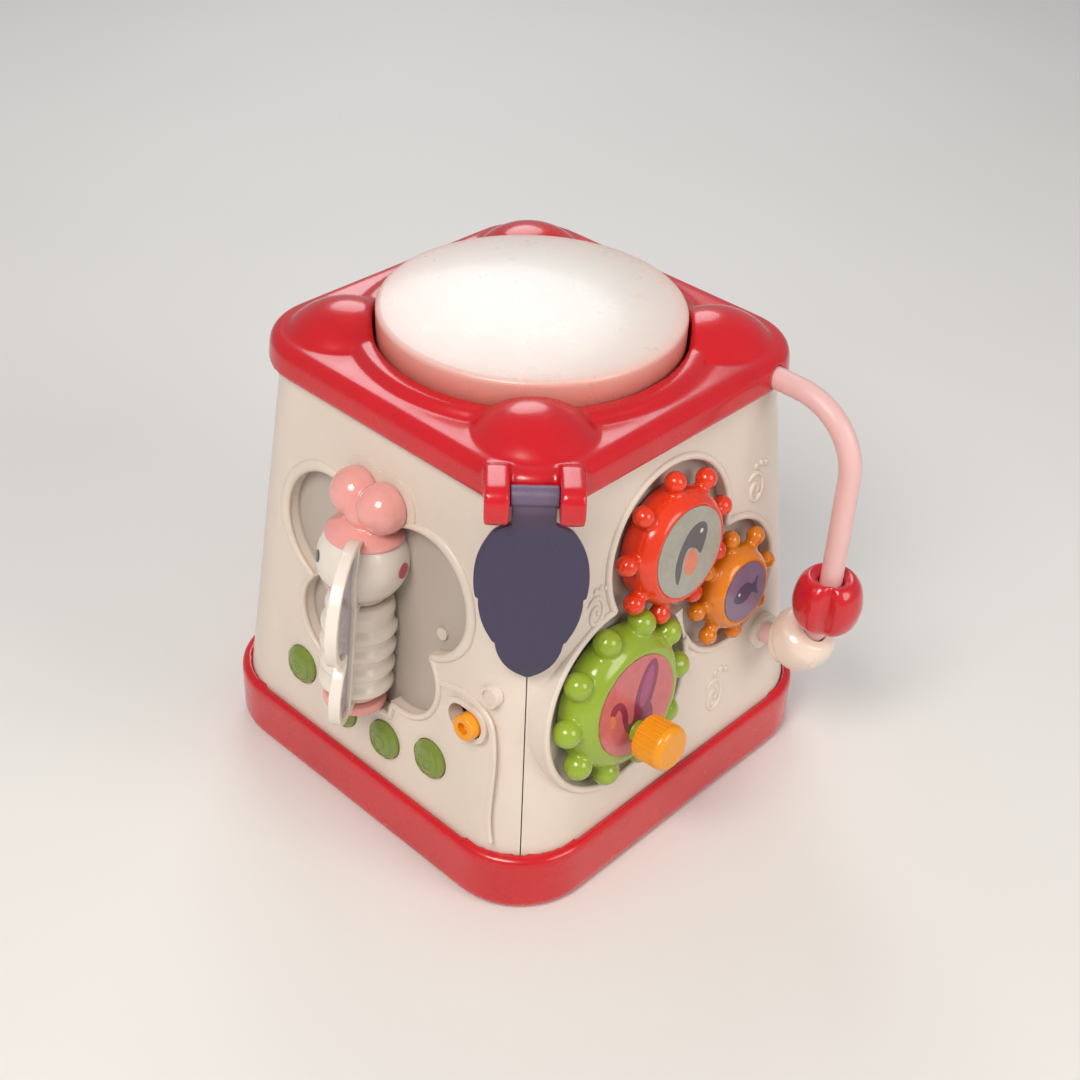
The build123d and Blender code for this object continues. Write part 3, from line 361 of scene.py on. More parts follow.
MATERIALS = {
    "red_shell": plastic("shell_red", RED, 0.24, 0.12, 0.004, coat=0.35),
    # The white panel's recess floors get a painted shade grey.
    "white_panel": plastic("panel_white", WARM_WHITE, 0.36, 0.04, 0.008, glow=0.08, painted_recess_shade=(0.50, 0.44, 0.39)),
    "drum_skin": milky_drum(),
    "leaf": smoky_leaf(),
    "figure_white": plastic("figure_white", (0.84, 0.76, 0.68), 0.20, 0.05, 0.004, coat=0.3, glow=0.15),
    "hat_pink": plastic("hat_pink", PINK, 0.15, 0.06, 0.004, coat=0.5, glow=0.15),
    "eye_dark": plastic("eye_black", (0.012, 0.008, 0.010), 0.10, 0.1, 0.002, coat=0.6),
    "cheek_pink": plastic("cheek_print", (0.55, 0.09, 0.15), 0.30, 0.08, 0.004),
    "page_film": page_film(),
    "button_green": plastic("button_green", (0.19, 0.27, 0.032), 0.18, 0.10, 0.004, coat=0.4, glow=0.05),
    "yellow": plastic("knob_yellow", (0.88, 0.33, 0.006), 0.26, 0.06, 0.005, coat=0.2),
    "gear_lime": plastic("gear_lime", (0.30, 0.43, 0.032), 0.16, 0.10, 0.004, coat=0.4, glow=0.05),
    "gear_coral": plastic("gear_coral", (0.78, 0.042, 0.008), 0.16, 0.08, 0.004, coat=0.4, glow=0.04),
    "gear_amber": plastic("gear_amber", (0.70, 0.20, 0.004), 0.16, 0.08, 0.004, coat=0.4, glow=0.04),
    "disc_print": printed("disc_paper", (0.45, 0.42, 0.40), (0.60, 0.58, 0.55)),
    "tube_pink": plastic("tube_pink", (0.80, 0.50, 0.49), 0.34, 0.05, 0.005, glow=0.10),
    "bead_red": plastic("bead_red", (0.60, 0.010, 0.020), 0.20, 0.10, 0.004, coat=0.4),
    "bead_cream": plastic("bead_cream", (0.84, 0.70, 0.60), 0.22, 0.06, 0.004, coat=0.3, glow=0.1),
    "steel": metal("plated_steel", (0.62, 0.61, 0.59)),
    "axle_white": plastic("acetal_white", (0.78, 0.76, 0.72), 0.40, 0.04, 0.008),
    "battery": metal("cell_wrap", (0.30, 0.33, 0.36), 0.36),
    "circuit_board": circuit("circuit_green"),
    "black_plastic": plastic("black_moulding", (0.022, 0.022, 0.024), 0.45, 0.2, 0.02),
    "foam_rubber": rubber("foam_rubber", (0.05, 0.05, 0.05)),
}
DISCS = {
    "gear_green_disc": printed("print_rose", (0.60, 0.13, 0.14), (0.68, 0.20, 0.20)),
    "gear_red_disc": printed("print_grey", (0.36, 0.35, 0.29), (0.50, 0.49, 0.42)),
    "gear_orange_disc": printed("print_violet", (0.19, 0.13, 0.22), (0.30, 0.22, 0.34)),
}
INKS = {
    "plum": printed("ink_plum", (0.24, 0.015, 0.075), (0.34, 0.04, 0.13)),
    "berry": printed("ink_berry", (0.38, 0.045, 0.17), (0.50, 0.10, 0.24)),
    "slate": printed("ink_slate", (0.075, 0.075, 0.08), (0.14, 0.14, 0.15)),
    "coral": printed("ink_coral", (0.70, 0.19, 0.10), (0.85, 0.30, 0.18)),
    "dusk": printed("ink_dusk", (0.06, 0.05, 0.11), (0.12, 0.10, 0.18)),
    "cream": printed("ink_cream", (0.80, 0.66, 0.50), (0.90, 0.80, 0.66)),
}

for entry in frame["record"]["subparts"]:
    mesh = frame["nodes"][entry["node"]].data
    mesh.materials.clear()
    mesh.materials.append(DISCS.get(entry["node"], MATERIALS[entry["material_slot"]]))


# ---------------------------------------------------------------- making pieces

def piece(name, mesh, body, slot, material=None, smooth=True):
    """Object that rides on a body and takes a slot's finish."""
    thing = bpy.data.objects.new(name, mesh)
    bpy.context.scene.collection.objects.link(thing)
    mesh.materials.clear()
    mesh.materials.append(material or MATERIALS[slot])
    if smooth:
        mesh.shade_smooth()
    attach(thing, body)
    return thing


def mesh_from(name, verts, faces):
    """Closed mesh with its normals facing outwards."""
    mesh = bpy.data.meshes.new(name)
    build = bmesh.new()
    made = [build.verts.new(v) for v in verts]
    for face in faces:
        build.faces.new([made[i] for i in face])
    bmesh.ops.recalc_face_normals(build, faces=build.faces)
    build.to_mesh(mesh)
    build.free()
    return mesh


def moulded(node, voxel, passes, slot):
    """The node's own shape with its edges and joins rounded off, as a mould leaves them."""
    mesh = frame["nodes"][node].data.copy()
    build = bmesh.new()
    build.from_mesh(mesh)
    bmesh.ops.remove_doubles(build, verts=build.verts, dist=1e-6)
    build.to_mesh(mesh)
    build.free()
    raw = bpy.data.objects.new(node + "_raw", mesh)
    bpy.context.scene.collection.objects.link(raw)
    remesh = raw.modifiers.new("even_skin", "REMESH")
    remesh.mode = "VOXEL"
    remesh.voxel_size = voxel * MM
    soften = raw.modifiers.new("soften", "SMOOTH")
    soften.factor = 0.5
    soften.iterations = passes
    done = bpy.data.meshes.new_from_object(raw.evaluated_get(bpy.context.evaluated_depsgraph_get()))
    bpy.data.objects.remove(raw)
    done.name = node + "_skin"
    bodies = frame["record"]["behaviour"]["bodies"]
    body = [name for name, members in bodies.items() if node in members][0]
    skin = piece(node + "_skin", done, body, slot)
    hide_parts(node)


def ridge_mesh(name, runs, width, height, sides=12, closed=False):
    """Rounded beads along runs of (point, outward normal).

    Width is in millimetres, or a list of them with one for each point.
    """
    verts, faces = [], []
    for run in runs:
        count = len(run)
        first = len(verts)
        for i, (point, out) in enumerate(run):
            wide = width[i] if isinstance(width, list) else width
            before = run[i - 1][0] if (i or closed) else point
            after = run[(i + 1) % count][0] if (i < count - 1 or closed) else point
            along = (after - before).normalized()
            across = along.cross(out).normalized()
            gap = min(i, count - 1 - i) / 3.0
            taper = 1.0 if closed else math.sqrt(min(1.0, 0.05 + gap))
            for k in range(sides):
                angle = FULL_TURN * k / sides
                verts.append(point + across * (wide * taper * math.cos(angle) * MM)
                             + out * (height * taper * math.sin(angle) * MM))
        rings = count if closed else count - 1
        for i in range(rings):
            low = first + i * sides
            high = first + ((i + 1) % count) * sides
            for k in range(sides):
                faces.append((low + k, low + (k + 1) % sides, high + (k + 1) % sides, high + k))
        if not closed:
            faces.append(tuple(first + k for k in range(sides)))
            faces.append(tuple(first + (count - 1) * sides + k for k in range(sides)))
    return mesh_from(name, verts, faces)


def on_side(side, points, out=0.0):
    """Run of (point, normal) for a list of (x, up) on a side."""
    return [(side.at(x, up, out), side.out) for x, up in points]


def smooth_span(a, b, c, d, steps):
    """Points from b up to c on the smooth curve through all four."""
    result = []
    for step in range(steps):
        t = step / steps
        result.append(0.5 * ((2 * b) + (c - a) * t + (2 * a - 5 * b + 4 * c - d) * t ** 2
                             + (3 * b - a - 3 * c + d) * t ** 3))
    return result


def smooth_loop(points, steps=6):
    """Closed smooth curve through the given corner points."""
    count = len(points)
    result = []
    for i in range(count):
        result += smooth_span(*(Vector(points[(i + k) % count]) for k in (-1, 0, 1, 2)), steps)
    return result


def smooth_run(points, steps=8):
    """Open smooth curve through the given points."""
    ends = [2 * Vector(points[0]) - Vector(points[1])] + [Vector(p) for p in points]
    ends.append(2 * Vector(points[-1]) - Vector(points[-2]))
    result = []
    for i in range(1, len(ends) - 2):
        result += smooth_span(*ends[i - 1:i + 3], steps)
    result.append(ends[-2])
    return result


def decal(name, place, outlines, thickness, body, slot, material):
    """Flat cut shapes a hair proud of the face they lie on, from closed (x, y) outlines in millimetres."""
    build = bmesh.new()
    for outline in outlines:
        low = [build.verts.new(place @ Vector((x * MM, y * MM, -thickness * MM))) for x, y in outline]
        high = [build.verts.new(place @ Vector((x * MM, y * MM, thickness * MM))) for x, y in outline]
        build.faces.new(low)
        build.faces.new(high)
        for i in range(len(outline)):
            j = (i + 1) % len(outline)
            build.faces.new((low[i], low[j], high[j], high[i]))
    bmesh.ops.recalc_face_normals(build, faces=build.faces)
    bmesh.ops.triangulate(build, faces=[f for f in build.faces if len(f.verts) > 4])
    mesh = bpy.data.meshes.new(name)
    build.to_mesh(mesh)
    build.free()
    piece(name, mesh, body, slot, material, smooth=False)


def lathe(name, place, profile, sides=64, shape=None, bend=None):
    """Closed ring-shaped solid turned about local z; shape(angle, radius) may change each radius.

    With bend, z runs round an arc of that radius in millimetres whose centre lies towards local -x.
    """
    verts, faces = [], []
    count = len(profile)
    for k in range(sides):
        angle = FULL_TURN * k / sides
        for radius, z in profile:
            r = shape(angle, radius) if shape else radius
            x, y = r * math.cos(angle), r * math.sin(angle)
            if bend:
                x, z = (bend + x) * math.cos(z / bend) - bend, (bend + x) * math.sin(z / bend)
            verts.append(place @ (Vector((x, y, z)) * MM))
    for k in range(sides):
        nxt = (k + 1) % sides
        for i in range(count):
            j = (i + 1) % count
            faces.append((k * count + i, nxt * count + i, nxt * count + j, k * count + j))
    return mesh_from(name, verts, faces)


def rounded(profile, steps=6):
    """Profile of (radius, z) points with its corners run together."""
    return [tuple(p) for p in smooth_loop(profile, steps)]


# ---------------------------------------------------------------- shells, gears and figure with moulded edges

# Node, voxel size in millimetres, smoothing passes and slot.
MOULDED = [
    ("top_cover", 0.9, 10, "red_shell"),
    ("base_tray", 1.0, 3, "red_shell"),
    ("gear_green", 0.5, 8, "gear_lime"),
    ("gear_red", 0.5, 8, "gear_coral"),
    ("gear_orange", 0.45, 8, "gear_amber"),
    ("figure_hat", 0.4, 10, "hat_pink"),
    ("figure_body", 0.4, 6, "figure_white"),
    ("figure_tail", 0.35, 4, "hat_pink"),
    ("page_frame", 0.35, 5, "figure_white"),
    ("slider_knob", 0.25, 3, "yellow"),
    ("roller", 0.5, 3, "yellow"),
]
for node, voxel, passes, slot in MOULDED:
    moulded(node, voxel, passes, slot)


# ---------------------------------------------------------------- raised rims and ornaments of the panels

def joined_outline(centre, circles, boxes=(), count=420):
    """Outer edge of overlapping circles and upright boxes, seen from a point inside them all."""
    cx, cy = centre
    loop = []
    for k in range(count):
        angle = FULL_TURN * k / count
        dx, dy = math.cos(angle), math.sin(angle)
        reach = 0.0
        for x, y, radius in circles:
            along = (x - cx) * dx + (y - cy) * dy
            off = radius ** 2 - ((x - cx) ** 2 + (y - cy) ** 2 - along ** 2)
            if off > 0:
                reach = max(reach, along + math.sqrt(off))
        for half, low, high in boxes:
            side = half / abs(dx) if abs(dx) > 1e-6 else math.inf
            end = ((high - cy) / dy if dy > 0 else (low - cy) / dy) if abs(dy) > 1e-6 else math.inf
            reach = max(reach, min(side, end))
        loop.append((cx + reach * dx, cy + reach * dy))
    return loop


WING_LOBES = [(22.2, 84.0, 22.2), (17.0, 50.5, 17.2)]
BODY_HALF = 12.9
RECESS_LOW = 27.8
RECESS_HIGH = 103.5
WING_MIDDLE = (0.0, 66.0)
BROAD_ABOVE = 62.0
BROAD_BESIDE = 18.0


def wing_rims():
    """Soft raised lip round the wing-shaped recess, broader round the upper lobes."""
    def edge(grow):
        circles = [(side * x, y, r + grow) for x, y, r in WING_LOBES for side in (-1, 1)]
        body = (BODY_HALF + grow, RECESS_LOW - grow, RECESS_HIGH + grow)
        return joined_outline(WING_MIDDLE, circles, [body])
    widths = []
    for x, y in edge(0.0):
        above = min(1.0, max(0.0, (y - BROAD_ABOVE) / 14.0))
        upper = above * min(1.0, max(0.0, (abs(x) - BROAD_BESIDE) / 10.0))
        widths.append(1.2 + 0.9 * upper)
    inner, outer = edge(0.0), edge(2.0)
    loop = []
    for (ax, ay), (bx, by), width in zip(inner, outer, widths):
        loop.append((ax + (bx - ax) * (width - 0.5) / 2.0, ay + (by - ay) * (width - 0.5) / 2.0))
    mesh = ridge_mesh("wing_rim", [on_side(BUTTERFLY, loop)], widths, 1.25, closed=True)
    piece("wing_rim", mesh, "housing", "white_panel")


# Each wheel's place on the side, the pitch radius of its balls and a ball's radius.
WHEELS = [(*GREEN_AT, 27.1, 4.9), (-4.6, 96.0, 24.1, 3.7), (26.0, 65.0, 19.3, 3.3)]
WELL_ROOM = 1.8
GEARS_MIDDLE = (-5.0, 70.0)


def gear_rim():
    """Raised lip round the three joined gear wells."""
    wells = [(x, y, pitch + ball + WELL_ROOM + 0.7) for x, y, pitch, ball in WHEELS]
    loop = joined_outline(GEARS_MIDDLE, wells)
    mesh = ridge_mesh("gear_rim", [on_side(GEARS, loop, 0.3)], 1.3, 1.1, closed=True)
    piece("gear_rim", mesh, "housing", "white_panel")


def swirl(name, side, x, up, size, lean):
    """Moulded spiral with three dots over it."""
    spiral = []
    turns = 1.55
    steps = 56
    for i in range(steps + 1):
        t = i / steps
        angle = math.radians(150) - FULL_TURN * turns * t
        radius = size * (0.18 + 0.82 * (1 - t) ** 1.15)
        spiral.append((radius * math.cos(angle) * 0.72, radius * math.sin(angle)))
    c, s = math.cos(math.radians(lean)), math.sin(math.radians(lean))
    place = [(x + px * c - py * s, up + px * s + py * c) for px, py in spiral]
    mesh = ridge_mesh(name, [on_side(side, place)], 0.85, 0.85)
    piece(name, mesh, "housing", "white_panel")
    dots = []
    for k in (-1, 0, 1):
        px, py = size * (0.38 * k + 0.25), size * (1.38 - 0.10 * abs(k))
        cx, cy = x + px * c - py * s, up + px * s + py * c
        turns = [FULL_TURN * j / 12 for j in range(12)]
        ring = [(cx + 0.45 * math.cos(a), cy + 0.45 * math.sin(a)) for a in turns]
        dots.append(on_side(side, ring))
    dot_mesh = ridge_mesh(name + "_dots", dots, 0.75, 0.75, closed=True)
    piece(name + "_dots", dot_mesh, "housing", "white_panel")


SWIRLS = [
    ("swirl_top", GEARS, 40.4, 96.4, 7.0, -8),
    ("swirl_low", GEARS, 19.9, 18.6, 8.0, -12),
    ("swirl_leaf", GEARS, -41.0, 86.8, 6.5, -8),
    ("swirl_clock_low", CLOCK, -42.0, 18.0, 7.5, 10),
    ("swirl_clock_top", CLOCK, 40.0, 108.0, 6.0, -10),
    ("swirl_roller_low", ROLLER, 38.0, 20.0, 8.0, -10),
    ("swirl_roller_top", ROLLER, -34.0, 104.0, 7.0, 12),
]
SEAM_LOW = 24.5
SEAM_HIGH = 158.0
WALL = 2.5


def seam_tongues():
    """Slim strips behind the four corner seams, so that no light shows through them."""
    half_width, gap, thick = 3.0, 0.15, 0.8
    row = 7
    level = 2 * row
    for number, quarter in enumerate((45, 135, 225, 315), 1):
        outward = Vector((math.cos(math.radians(quarter)), math.sin(math.radians(quarter)), 0))
        across = Vector((-outward.y, outward.x, 0))
        verts = []
        for z in (SEAM_LOW, SEAM_HIGH):
            half = HALF_AT_LIP - (z - LIP_Z) * GEARS.out.z / GEARS.out.x
            corner = CORNER_AT_LIP - (z - LIP_Z) * CORNER_SHRINK
            bend = corner - WALL - gap
            centre = outward * (half - corner) * math.sqrt(2)
            for radius in (bend, bend - thick):
                for k in range(-3, 4):
                    turn = half_width / bend * k / 3
                    place = centre + (outward * math.cos(turn) + across * math.sin(turn)) * radius
                    verts.append(Vector((place.x, place.y, z)) * MM)
        faces = []
        for k in range(row - 1):
            inner, top = k + row, k + level
            faces += [(k, k + 1, top + 1, top), (inner, inner + level, inner + level + 1, inner + 1),
                      (k, inner, inner + 1, k + 1), (top, top + 1, top + row + 1, top + row)]
        faces += [(0, level, level + row, row),
                  (row - 1, level - 1, 2 * level - 1, level + row - 1)]
        name = f"seam_tongue_{number}"
        piece(name, mesh_from(name, verts, faces), "housing", "white_panel")


wing_rims()
gear_rim()
seam_tongues()
for name, side, x, up, size, lean in SWIRLS:
    swirl(name, side, x, up, size, lean)


# ---------------------------------------------------------------- leaf flap

LEAF_PIN = Vector(JOINTS["leaf_lift"]["pos_m"])
LEAF_LEAN = math.radians(3.5)


def leaf_frame():
    """Local x across the leaf, y down its length and z out of its front face, from the hinge pin."""
    outward = Vector((LEAF_PIN.x, LEAF_PIN.y, 0)).normalized()
    down = (Vector((0, 0, -1)) * math.cos(LEAF_LEAN) + outward * math.sin(LEAF_LEAN)).normalized()
    across = down.cross(outward).normalized()
    front = across.cross(down)
    matrix = Matrix((across, down, front)).transposed().to_4x4()
    matrix.translation = LEAF_PIN
    return matrix


LEAF_NECK = 6.6
# Marks of (part of the length, half width) along each of the three lobes, from the hinge down.
LEAF_LOBES = [
    [(0.148, 6.6), (0.17, 9.8), (0.2, 12.4), (0.28, 15.4), (0.36, 17.0), (0.45, 17.5), (0.52, 17.2),
     (0.545, 16.8)],
    [(0.552, 16.0), (0.6, 15.9), (0.66, 15.2), (0.72, 13.9), (0.77, 12.3), (0.793, 11.5)],
    [(0.8, 10.7), (0.86, 9.8), (0.92, 7.8), (0.97, 4.5), (1.0, 1.0)],
]
LEAF_EDGE = [mark for lobe in LEAF_LOBES for mark in smooth_run(lobe)]


def leaf_half_width(t):
    """Half width at a part of the length, with scalloped lobes."""
    if t < LEAF_EDGE[0].x:
        return LEAF_NECK
    for low, high in zip(LEAF_EDGE, LEAF_EDGE[1:]):
        if low.x < high.x and t <= high.x:
            return low.y + (high.y - low.y) * (t - low.x) / (high.x - low.x)
    return LEAF_EDGE[-1].y


def make_leaf():
    """Thin blade with softened edges and a fine midrib, and the knuckle it hangs from."""
    place = leaf_frame()
    length, half, vein_from = 66.0, 1.15, 0.12
    rows, columns, first = 190, 40, 0.04
    verts, faces = [], []
    for surface in (1, -1):
        for i in range(rows + 1):
            t = first + (1 - first) * i / rows
            width = leaf_half_width(t)
            for j in range(columns + 1):
                u = 2 * j / columns - 1
                x = width * math.sin(u * math.pi / 2)
                y = length * t - 0.2
                edge = math.sqrt(max(0.0, 1 - abs(u) ** 8)) * min(1.0, (1 - t) * 14 + 0.25)
                dome = 0.0
                if surface > 0 and t > vein_from:
                    fade = min(1.0, (t - vein_from) * 8)
                    dome = math.exp(-(x / 0.6) ** 2) * 0.16 * fade * (1 - u * u) ** 0.5
                z = surface * half * (0.35 + 0.65 * edge) - 0.1 + dome * 0.9
                verts.append(place @ Vector((x * MM, y * MM, z * MM)))
    step = columns + 1
    back = (rows + 1) * step
    for i in range(rows):
        for j in range(columns):
            a = i * step + j
            faces.append((a, a + 1, a + 1 + step, a + step))
            faces.append((back + a, back + a + step, back + a + 1 + step, back + a + 1))
        left, right = i * step, i * step + columns
        faces.append((left, left + step, back + left + step, back + left))
        faces.append((right, back + right, back + right + step, right + step))
    for j in range(columns):
        faces.append((j, back + j, back + j + 1, j + 1))
        end = rows * step + j
        faces.append((end, end + 1, back + end + 1, back + end))
    blade = piece("leaf_blade", mesh_from("leaf_blade", verts, faces), "leaf", "leaf")
    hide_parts("leaf_flap")
    turn = Matrix.Rotation(math.radians(90), 4, "Y")
    knuckle = rounded([(1.62, -6.9), (2.7, -6.9), (3.1, -6.4), (3.1, 0), (3.1, 6.4), (2.7, 6.9),
                       (1.62, 6.9), (1.62, 0)], 4)
    piece("leaf_knuckle", lathe("leaf_knuckle", place @ turn, knuckle, 40), "leaf", "leaf")


make_leaf()


# ---------------------------------------------------------------- beads

TUBE_RADIUS = 3.9
CLEFT_FROM = 5.4


def make_beads():
    """Grooved red bead on the tube's upright run and stepped cream bead bent round its lower corner."""
    low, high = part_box("bead_red")
    centre = (low + high) / 2
    tube_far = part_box("bead_tube")[1].x
    outline = rounded([(5.2, -10.0), (7.6, -10.5), (10.6, -7.6), (12.0, -2.8), (12.1, 1.6), (10.8, 7.0),
                       (8.2, 10.2), (6.0, 9.8), (4.3, 7.6), (4.5, 0)])

    def cleft(angle, radius):
        """Deep groove down two opposite sides, so the bead reads as a pair of cherries."""
        if radius < CLEFT_FROM:
            return radius
        clefts = (math.radians(-58), math.radians(122))
        near = min(abs(math.remainder(angle - a, FULL_TURN)) for a in clefts)
        return radius - (radius - 4.8) * 0.46 * math.exp(-(near / 0.26) ** 2)

    mesh = lathe("bead_red_skin", Matrix.Translation(centre), outline, 120, cleft)
    red = piece("bead_red_skin", mesh, "red_bead", "bead_red")
    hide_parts("bead_red")
    pivot = Vector(JOINTS["bead_white_swing"]["pos_m"])
    low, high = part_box("bead_white")
    spoke = (low + high) / 2 - pivot
    spoke.y = 0
    spoke.normalize()
    along = Vector((0, 1, 0)).cross(spoke)
    if along.z < 0:
        along = -along
    reach = tube_far - pivot.x - TUBE_RADIUS * MM
    place = Matrix((spoke, along.cross(spoke), along)).transposed().to_4x4()
    place.translation = pivot + spoke * reach
    outline = rounded([(4.3, -8.2), (6.2, -8.7), (9.0, -8.0), (9.5, -5.6), (9.5, -4.6), (10.7, -4.0),
                       (11.5, -2.4), (11.5, 2.0), (10.6, 5.6), (8.0, 8.2), (5.6, 8.6), (4.3, 7.8), (4.3, 0)])
    mesh = lathe("bead_cream_skin", place, outline, 80, bend=reach / MM)
    cream = piece("bead_cream_skin", mesh, "white_bead", "bead_cream")
    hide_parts("bead_white")


make_beads()


# ---------------------------------------------------------------- prints on the gear discs

def disc_frame(node, joint):
    """Top face of a disc: local x along the side, y up and z out."""
    axis = Vector(JOINTS[joint]["axis"]).normalized()
    centre = Vector(JOINTS[joint]["pos_m"])
    mesh = frame["nodes"][node].data
    reach = max((v.co - centre).dot(axis) for v in mesh.vertices)
    matrix = Matrix((GEARS.x, GEARS.up, axis)).transposed().to_4x4()
    matrix.translation = centre + axis * reach
    return matrix


def ellipse(cx, cy, rx, ry, lean=0.0, count=28):
    """Outline of a leaning ellipse; lean in degrees."""
    c, s = math.cos(math.radians(lean)), math.sin(math.radians(lean))
    points = []
    for k in range(count):
        px, py = rx * math.cos(FULL_TURN * k / count), ry * math.sin(FULL_TURN * k / count)
        points.append((cx + px * c - py * s, cy + px * s + py * c))
    return points


def flat_loop(points):
    """Closed smooth outline as plain (x, y) pairs."""
    return [(p.x, p.y) for p in smooth_loop(points)]


PRINT = 0.05


def prints():
    """Plain swan, bird and fish, cut flat and laid on the discs; later shapes lie over earlier ones."""
    place = disc_frame("gear_green_disc", "green_spin")
    swan = flat_loop([(-1.0, -2.0), (-2.4, -5.4), (-4.4, -5.0), (-4.6, -1.0), (-6.0, 3.4), (-8.6, 6.0),
                      (-11.6, 5.8), (-13.0, 3.4), (-12.2, 1.4), (-10.6, 2.0), (-9.0, 3.2), (-7.6, 0.8),
                      (-7.0, -3.4), (-5.4, -8.0), (-1.0, -11.2), (4.4, -11.4), (7.6, -8.0), (7.0, -3.0),
                      (3.0, -0.6)])
    decal("print_swan", place, [swan], PRINT, "green_wheel", "disc_print", INKS["plum"])
    wing = ellipse(4.6, 4.0, 4.6, 11.4, -22)
    decal("print_swan_wing", place, [wing], PRINT * 1.4, "green_wheel", "disc_print", INKS["plum"])
    feather = ellipse(4.9, 5.0, 2.5, 7.8, -22)
    decal("print_swan_feather", place, [feather], PRINT * 1.8, "green_wheel", "disc_print", INKS["berry"])
    beak = flat_loop([(-12.8, 2.6), (-11.2, 1.6), (-10.4, -0.8), (-11.4, -2.8), (-13.0, -1.4)])
    decal("print_swan_beak", place, [beak], PRINT * 1.4, "green_wheel", "disc_print", INKS["coral"])
    place = disc_frame("gear_red_disc", "red_spin")
    bird = flat_loop([(-6.2, -9.6), (-7.4, -6.6), (-7.0, -1.4), (-4.6, 3.6), (-0.8, 7.8), (3.6, 9.4),
                      (7.4, 8.2), (8.6, 5.0), (7.6, 1.4), (5.2, -2.6), (2.8, 0.2), (-1.0, 1.8), (-3.4, -1.4),
                      (-4.6, -6.0)])
    decal("print_bird", place, [bird], PRINT, "red_wheel", "disc_print", INKS["slate"])
    breast = flat_loop([(-2.6, -1.6), (0.6, 0.8), (3.4, -1.6), (3.4, -6.0), (0.6, -8.8), (-2.4, -6.8)])
    decal("print_bird_breast", place, [breast], PRINT * 1.4, "red_wheel", "disc_print", INKS["coral"])
    decal("print_bird_eye", place, [ellipse(5.6, 5.8, 0.8, 0.8)], PRINT * 1.8, "red_wheel", "disc_print",
          INKS["cream"])
    place = disc_frame("gear_orange_disc", "orange_spin")
    fish = flat_loop([(-6.6, -0.6), (-3.6, 2.8), (0.6, 3.6), (3.8, 1.6), (6.6, 3.8), (6.0, -0.4), (6.8, -4.2),
                      (3.6, -1.8), (0.4, -3.6), (-3.8, -3.2)])
    decal("print_fish", place, [fish], PRINT, "orange_wheel", "disc_print", INKS["dusk"])
    decal("print_fish_eye", place, [ellipse(-3.6, 0.5, 0.6, 0.6)], PRINT * 1.8, "orange_wheel", "disc_print",
          INKS["cream"])


prints()


# ---------------------------------------------------------------- button icons

BUTTON_RADIUS = 7.2
BUTTON_RISE = 2.2
DOME = (BUTTON_RADIUS ** 2 + BUTTON_RISE ** 2) / (2 * BUTTON_RISE)
DOME_BASE = 1.2


def circle_run(cx, cy, r, count=26, start=0.0, turn=360.0):
    """Points along an arc, both ends included."""
    return [(cx + r * math.cos(math.radians(start + turn * k / count)),
             cy + r * math.sin(math.radians(start + turn * k / count))) for k in range(count + 1)]


def line_run(*corners, steps=6):
    """Points along straight strokes from corner to corner."""
    run = []
    for (ax, ay), (bx, by) in zip(corners, corners[1:]):
        run += [(ax + (bx - ax) * t / steps, ay + (by - ay) * t / steps) for t in range(steps)]
    return run + [corners[-1]]


ICONS = {
    "button_1": [circle_run(-0.4, -0.2, 2.6), line_run((-0.4, 1.4), (-0.4, -0.2), (0.9, -0.9))],
    "button_2": [circle_run(-1.5, -1.9, 0.85), line_run((-0.7, -1.7), (-0.7, 2.4), (2.1, 3.0), (2.1, -1.1)),
                 circle_run(1.3, -1.3, 0.85)],
    "button_3": [circle_run(0.0, 0.3, 2.4, start=-60, turn=300), line_run((-0.9, -2.8), (0.9, -2.8)),
                 line_run((-0.6, -3.5), (0.6, -3.5))],
    "button_4": [line_run((-2.9, 1.9), (-0.2, 1.3), (-0.2, -2.2), (-2.9, -1.6), (-2.9, 1.9)),
                 line_run((0.2, 1.3), (2.9, 1.9), (2.9, -1.6), (0.2, -2.2), (0.2, 1.3))],
}


def button_icons():
    """Thin raised lines that follow the dome of each cap, inside a raised ring."""
    for number, (node, lines) in enumerate(ICONS.items(), 1):
        low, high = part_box(node)
        centre = (low + high) / 2
        offset = centre - BUTTERFLY.origin
        x0, up0 = offset.dot(BUTTERFLY.x) / MM, offset.dot(BUTTERFLY.up) / MM
        runs = []
        for line in lines + [circle_run(0, 0, 5.2, 48)]:
            run = []
            for x, y in line:
                top = DOME_BASE + BUTTON_RISE - DOME + math.sqrt(DOME ** 2 - x * x - y * y)
                normal = (BUTTERFLY.out * math.sqrt(DOME ** 2 - x * x - y * y)
                          + BUTTERFLY.x * x + BUTTERFLY.up * y)
                run.append((BUTTERFLY.at(x0 + x, up0 + y, top), normal.normalized()))
            runs.append(run)
        mesh = ridge_mesh(f"icon_{number}", runs, 0.28, 0.24, 8)
        piece(f"icon_{number}", mesh, f"key_{number}", "button_green")


button_icons()


# ---------------------------------------------------------------- clock face and roller

NUMERAL_REACH = 22.5


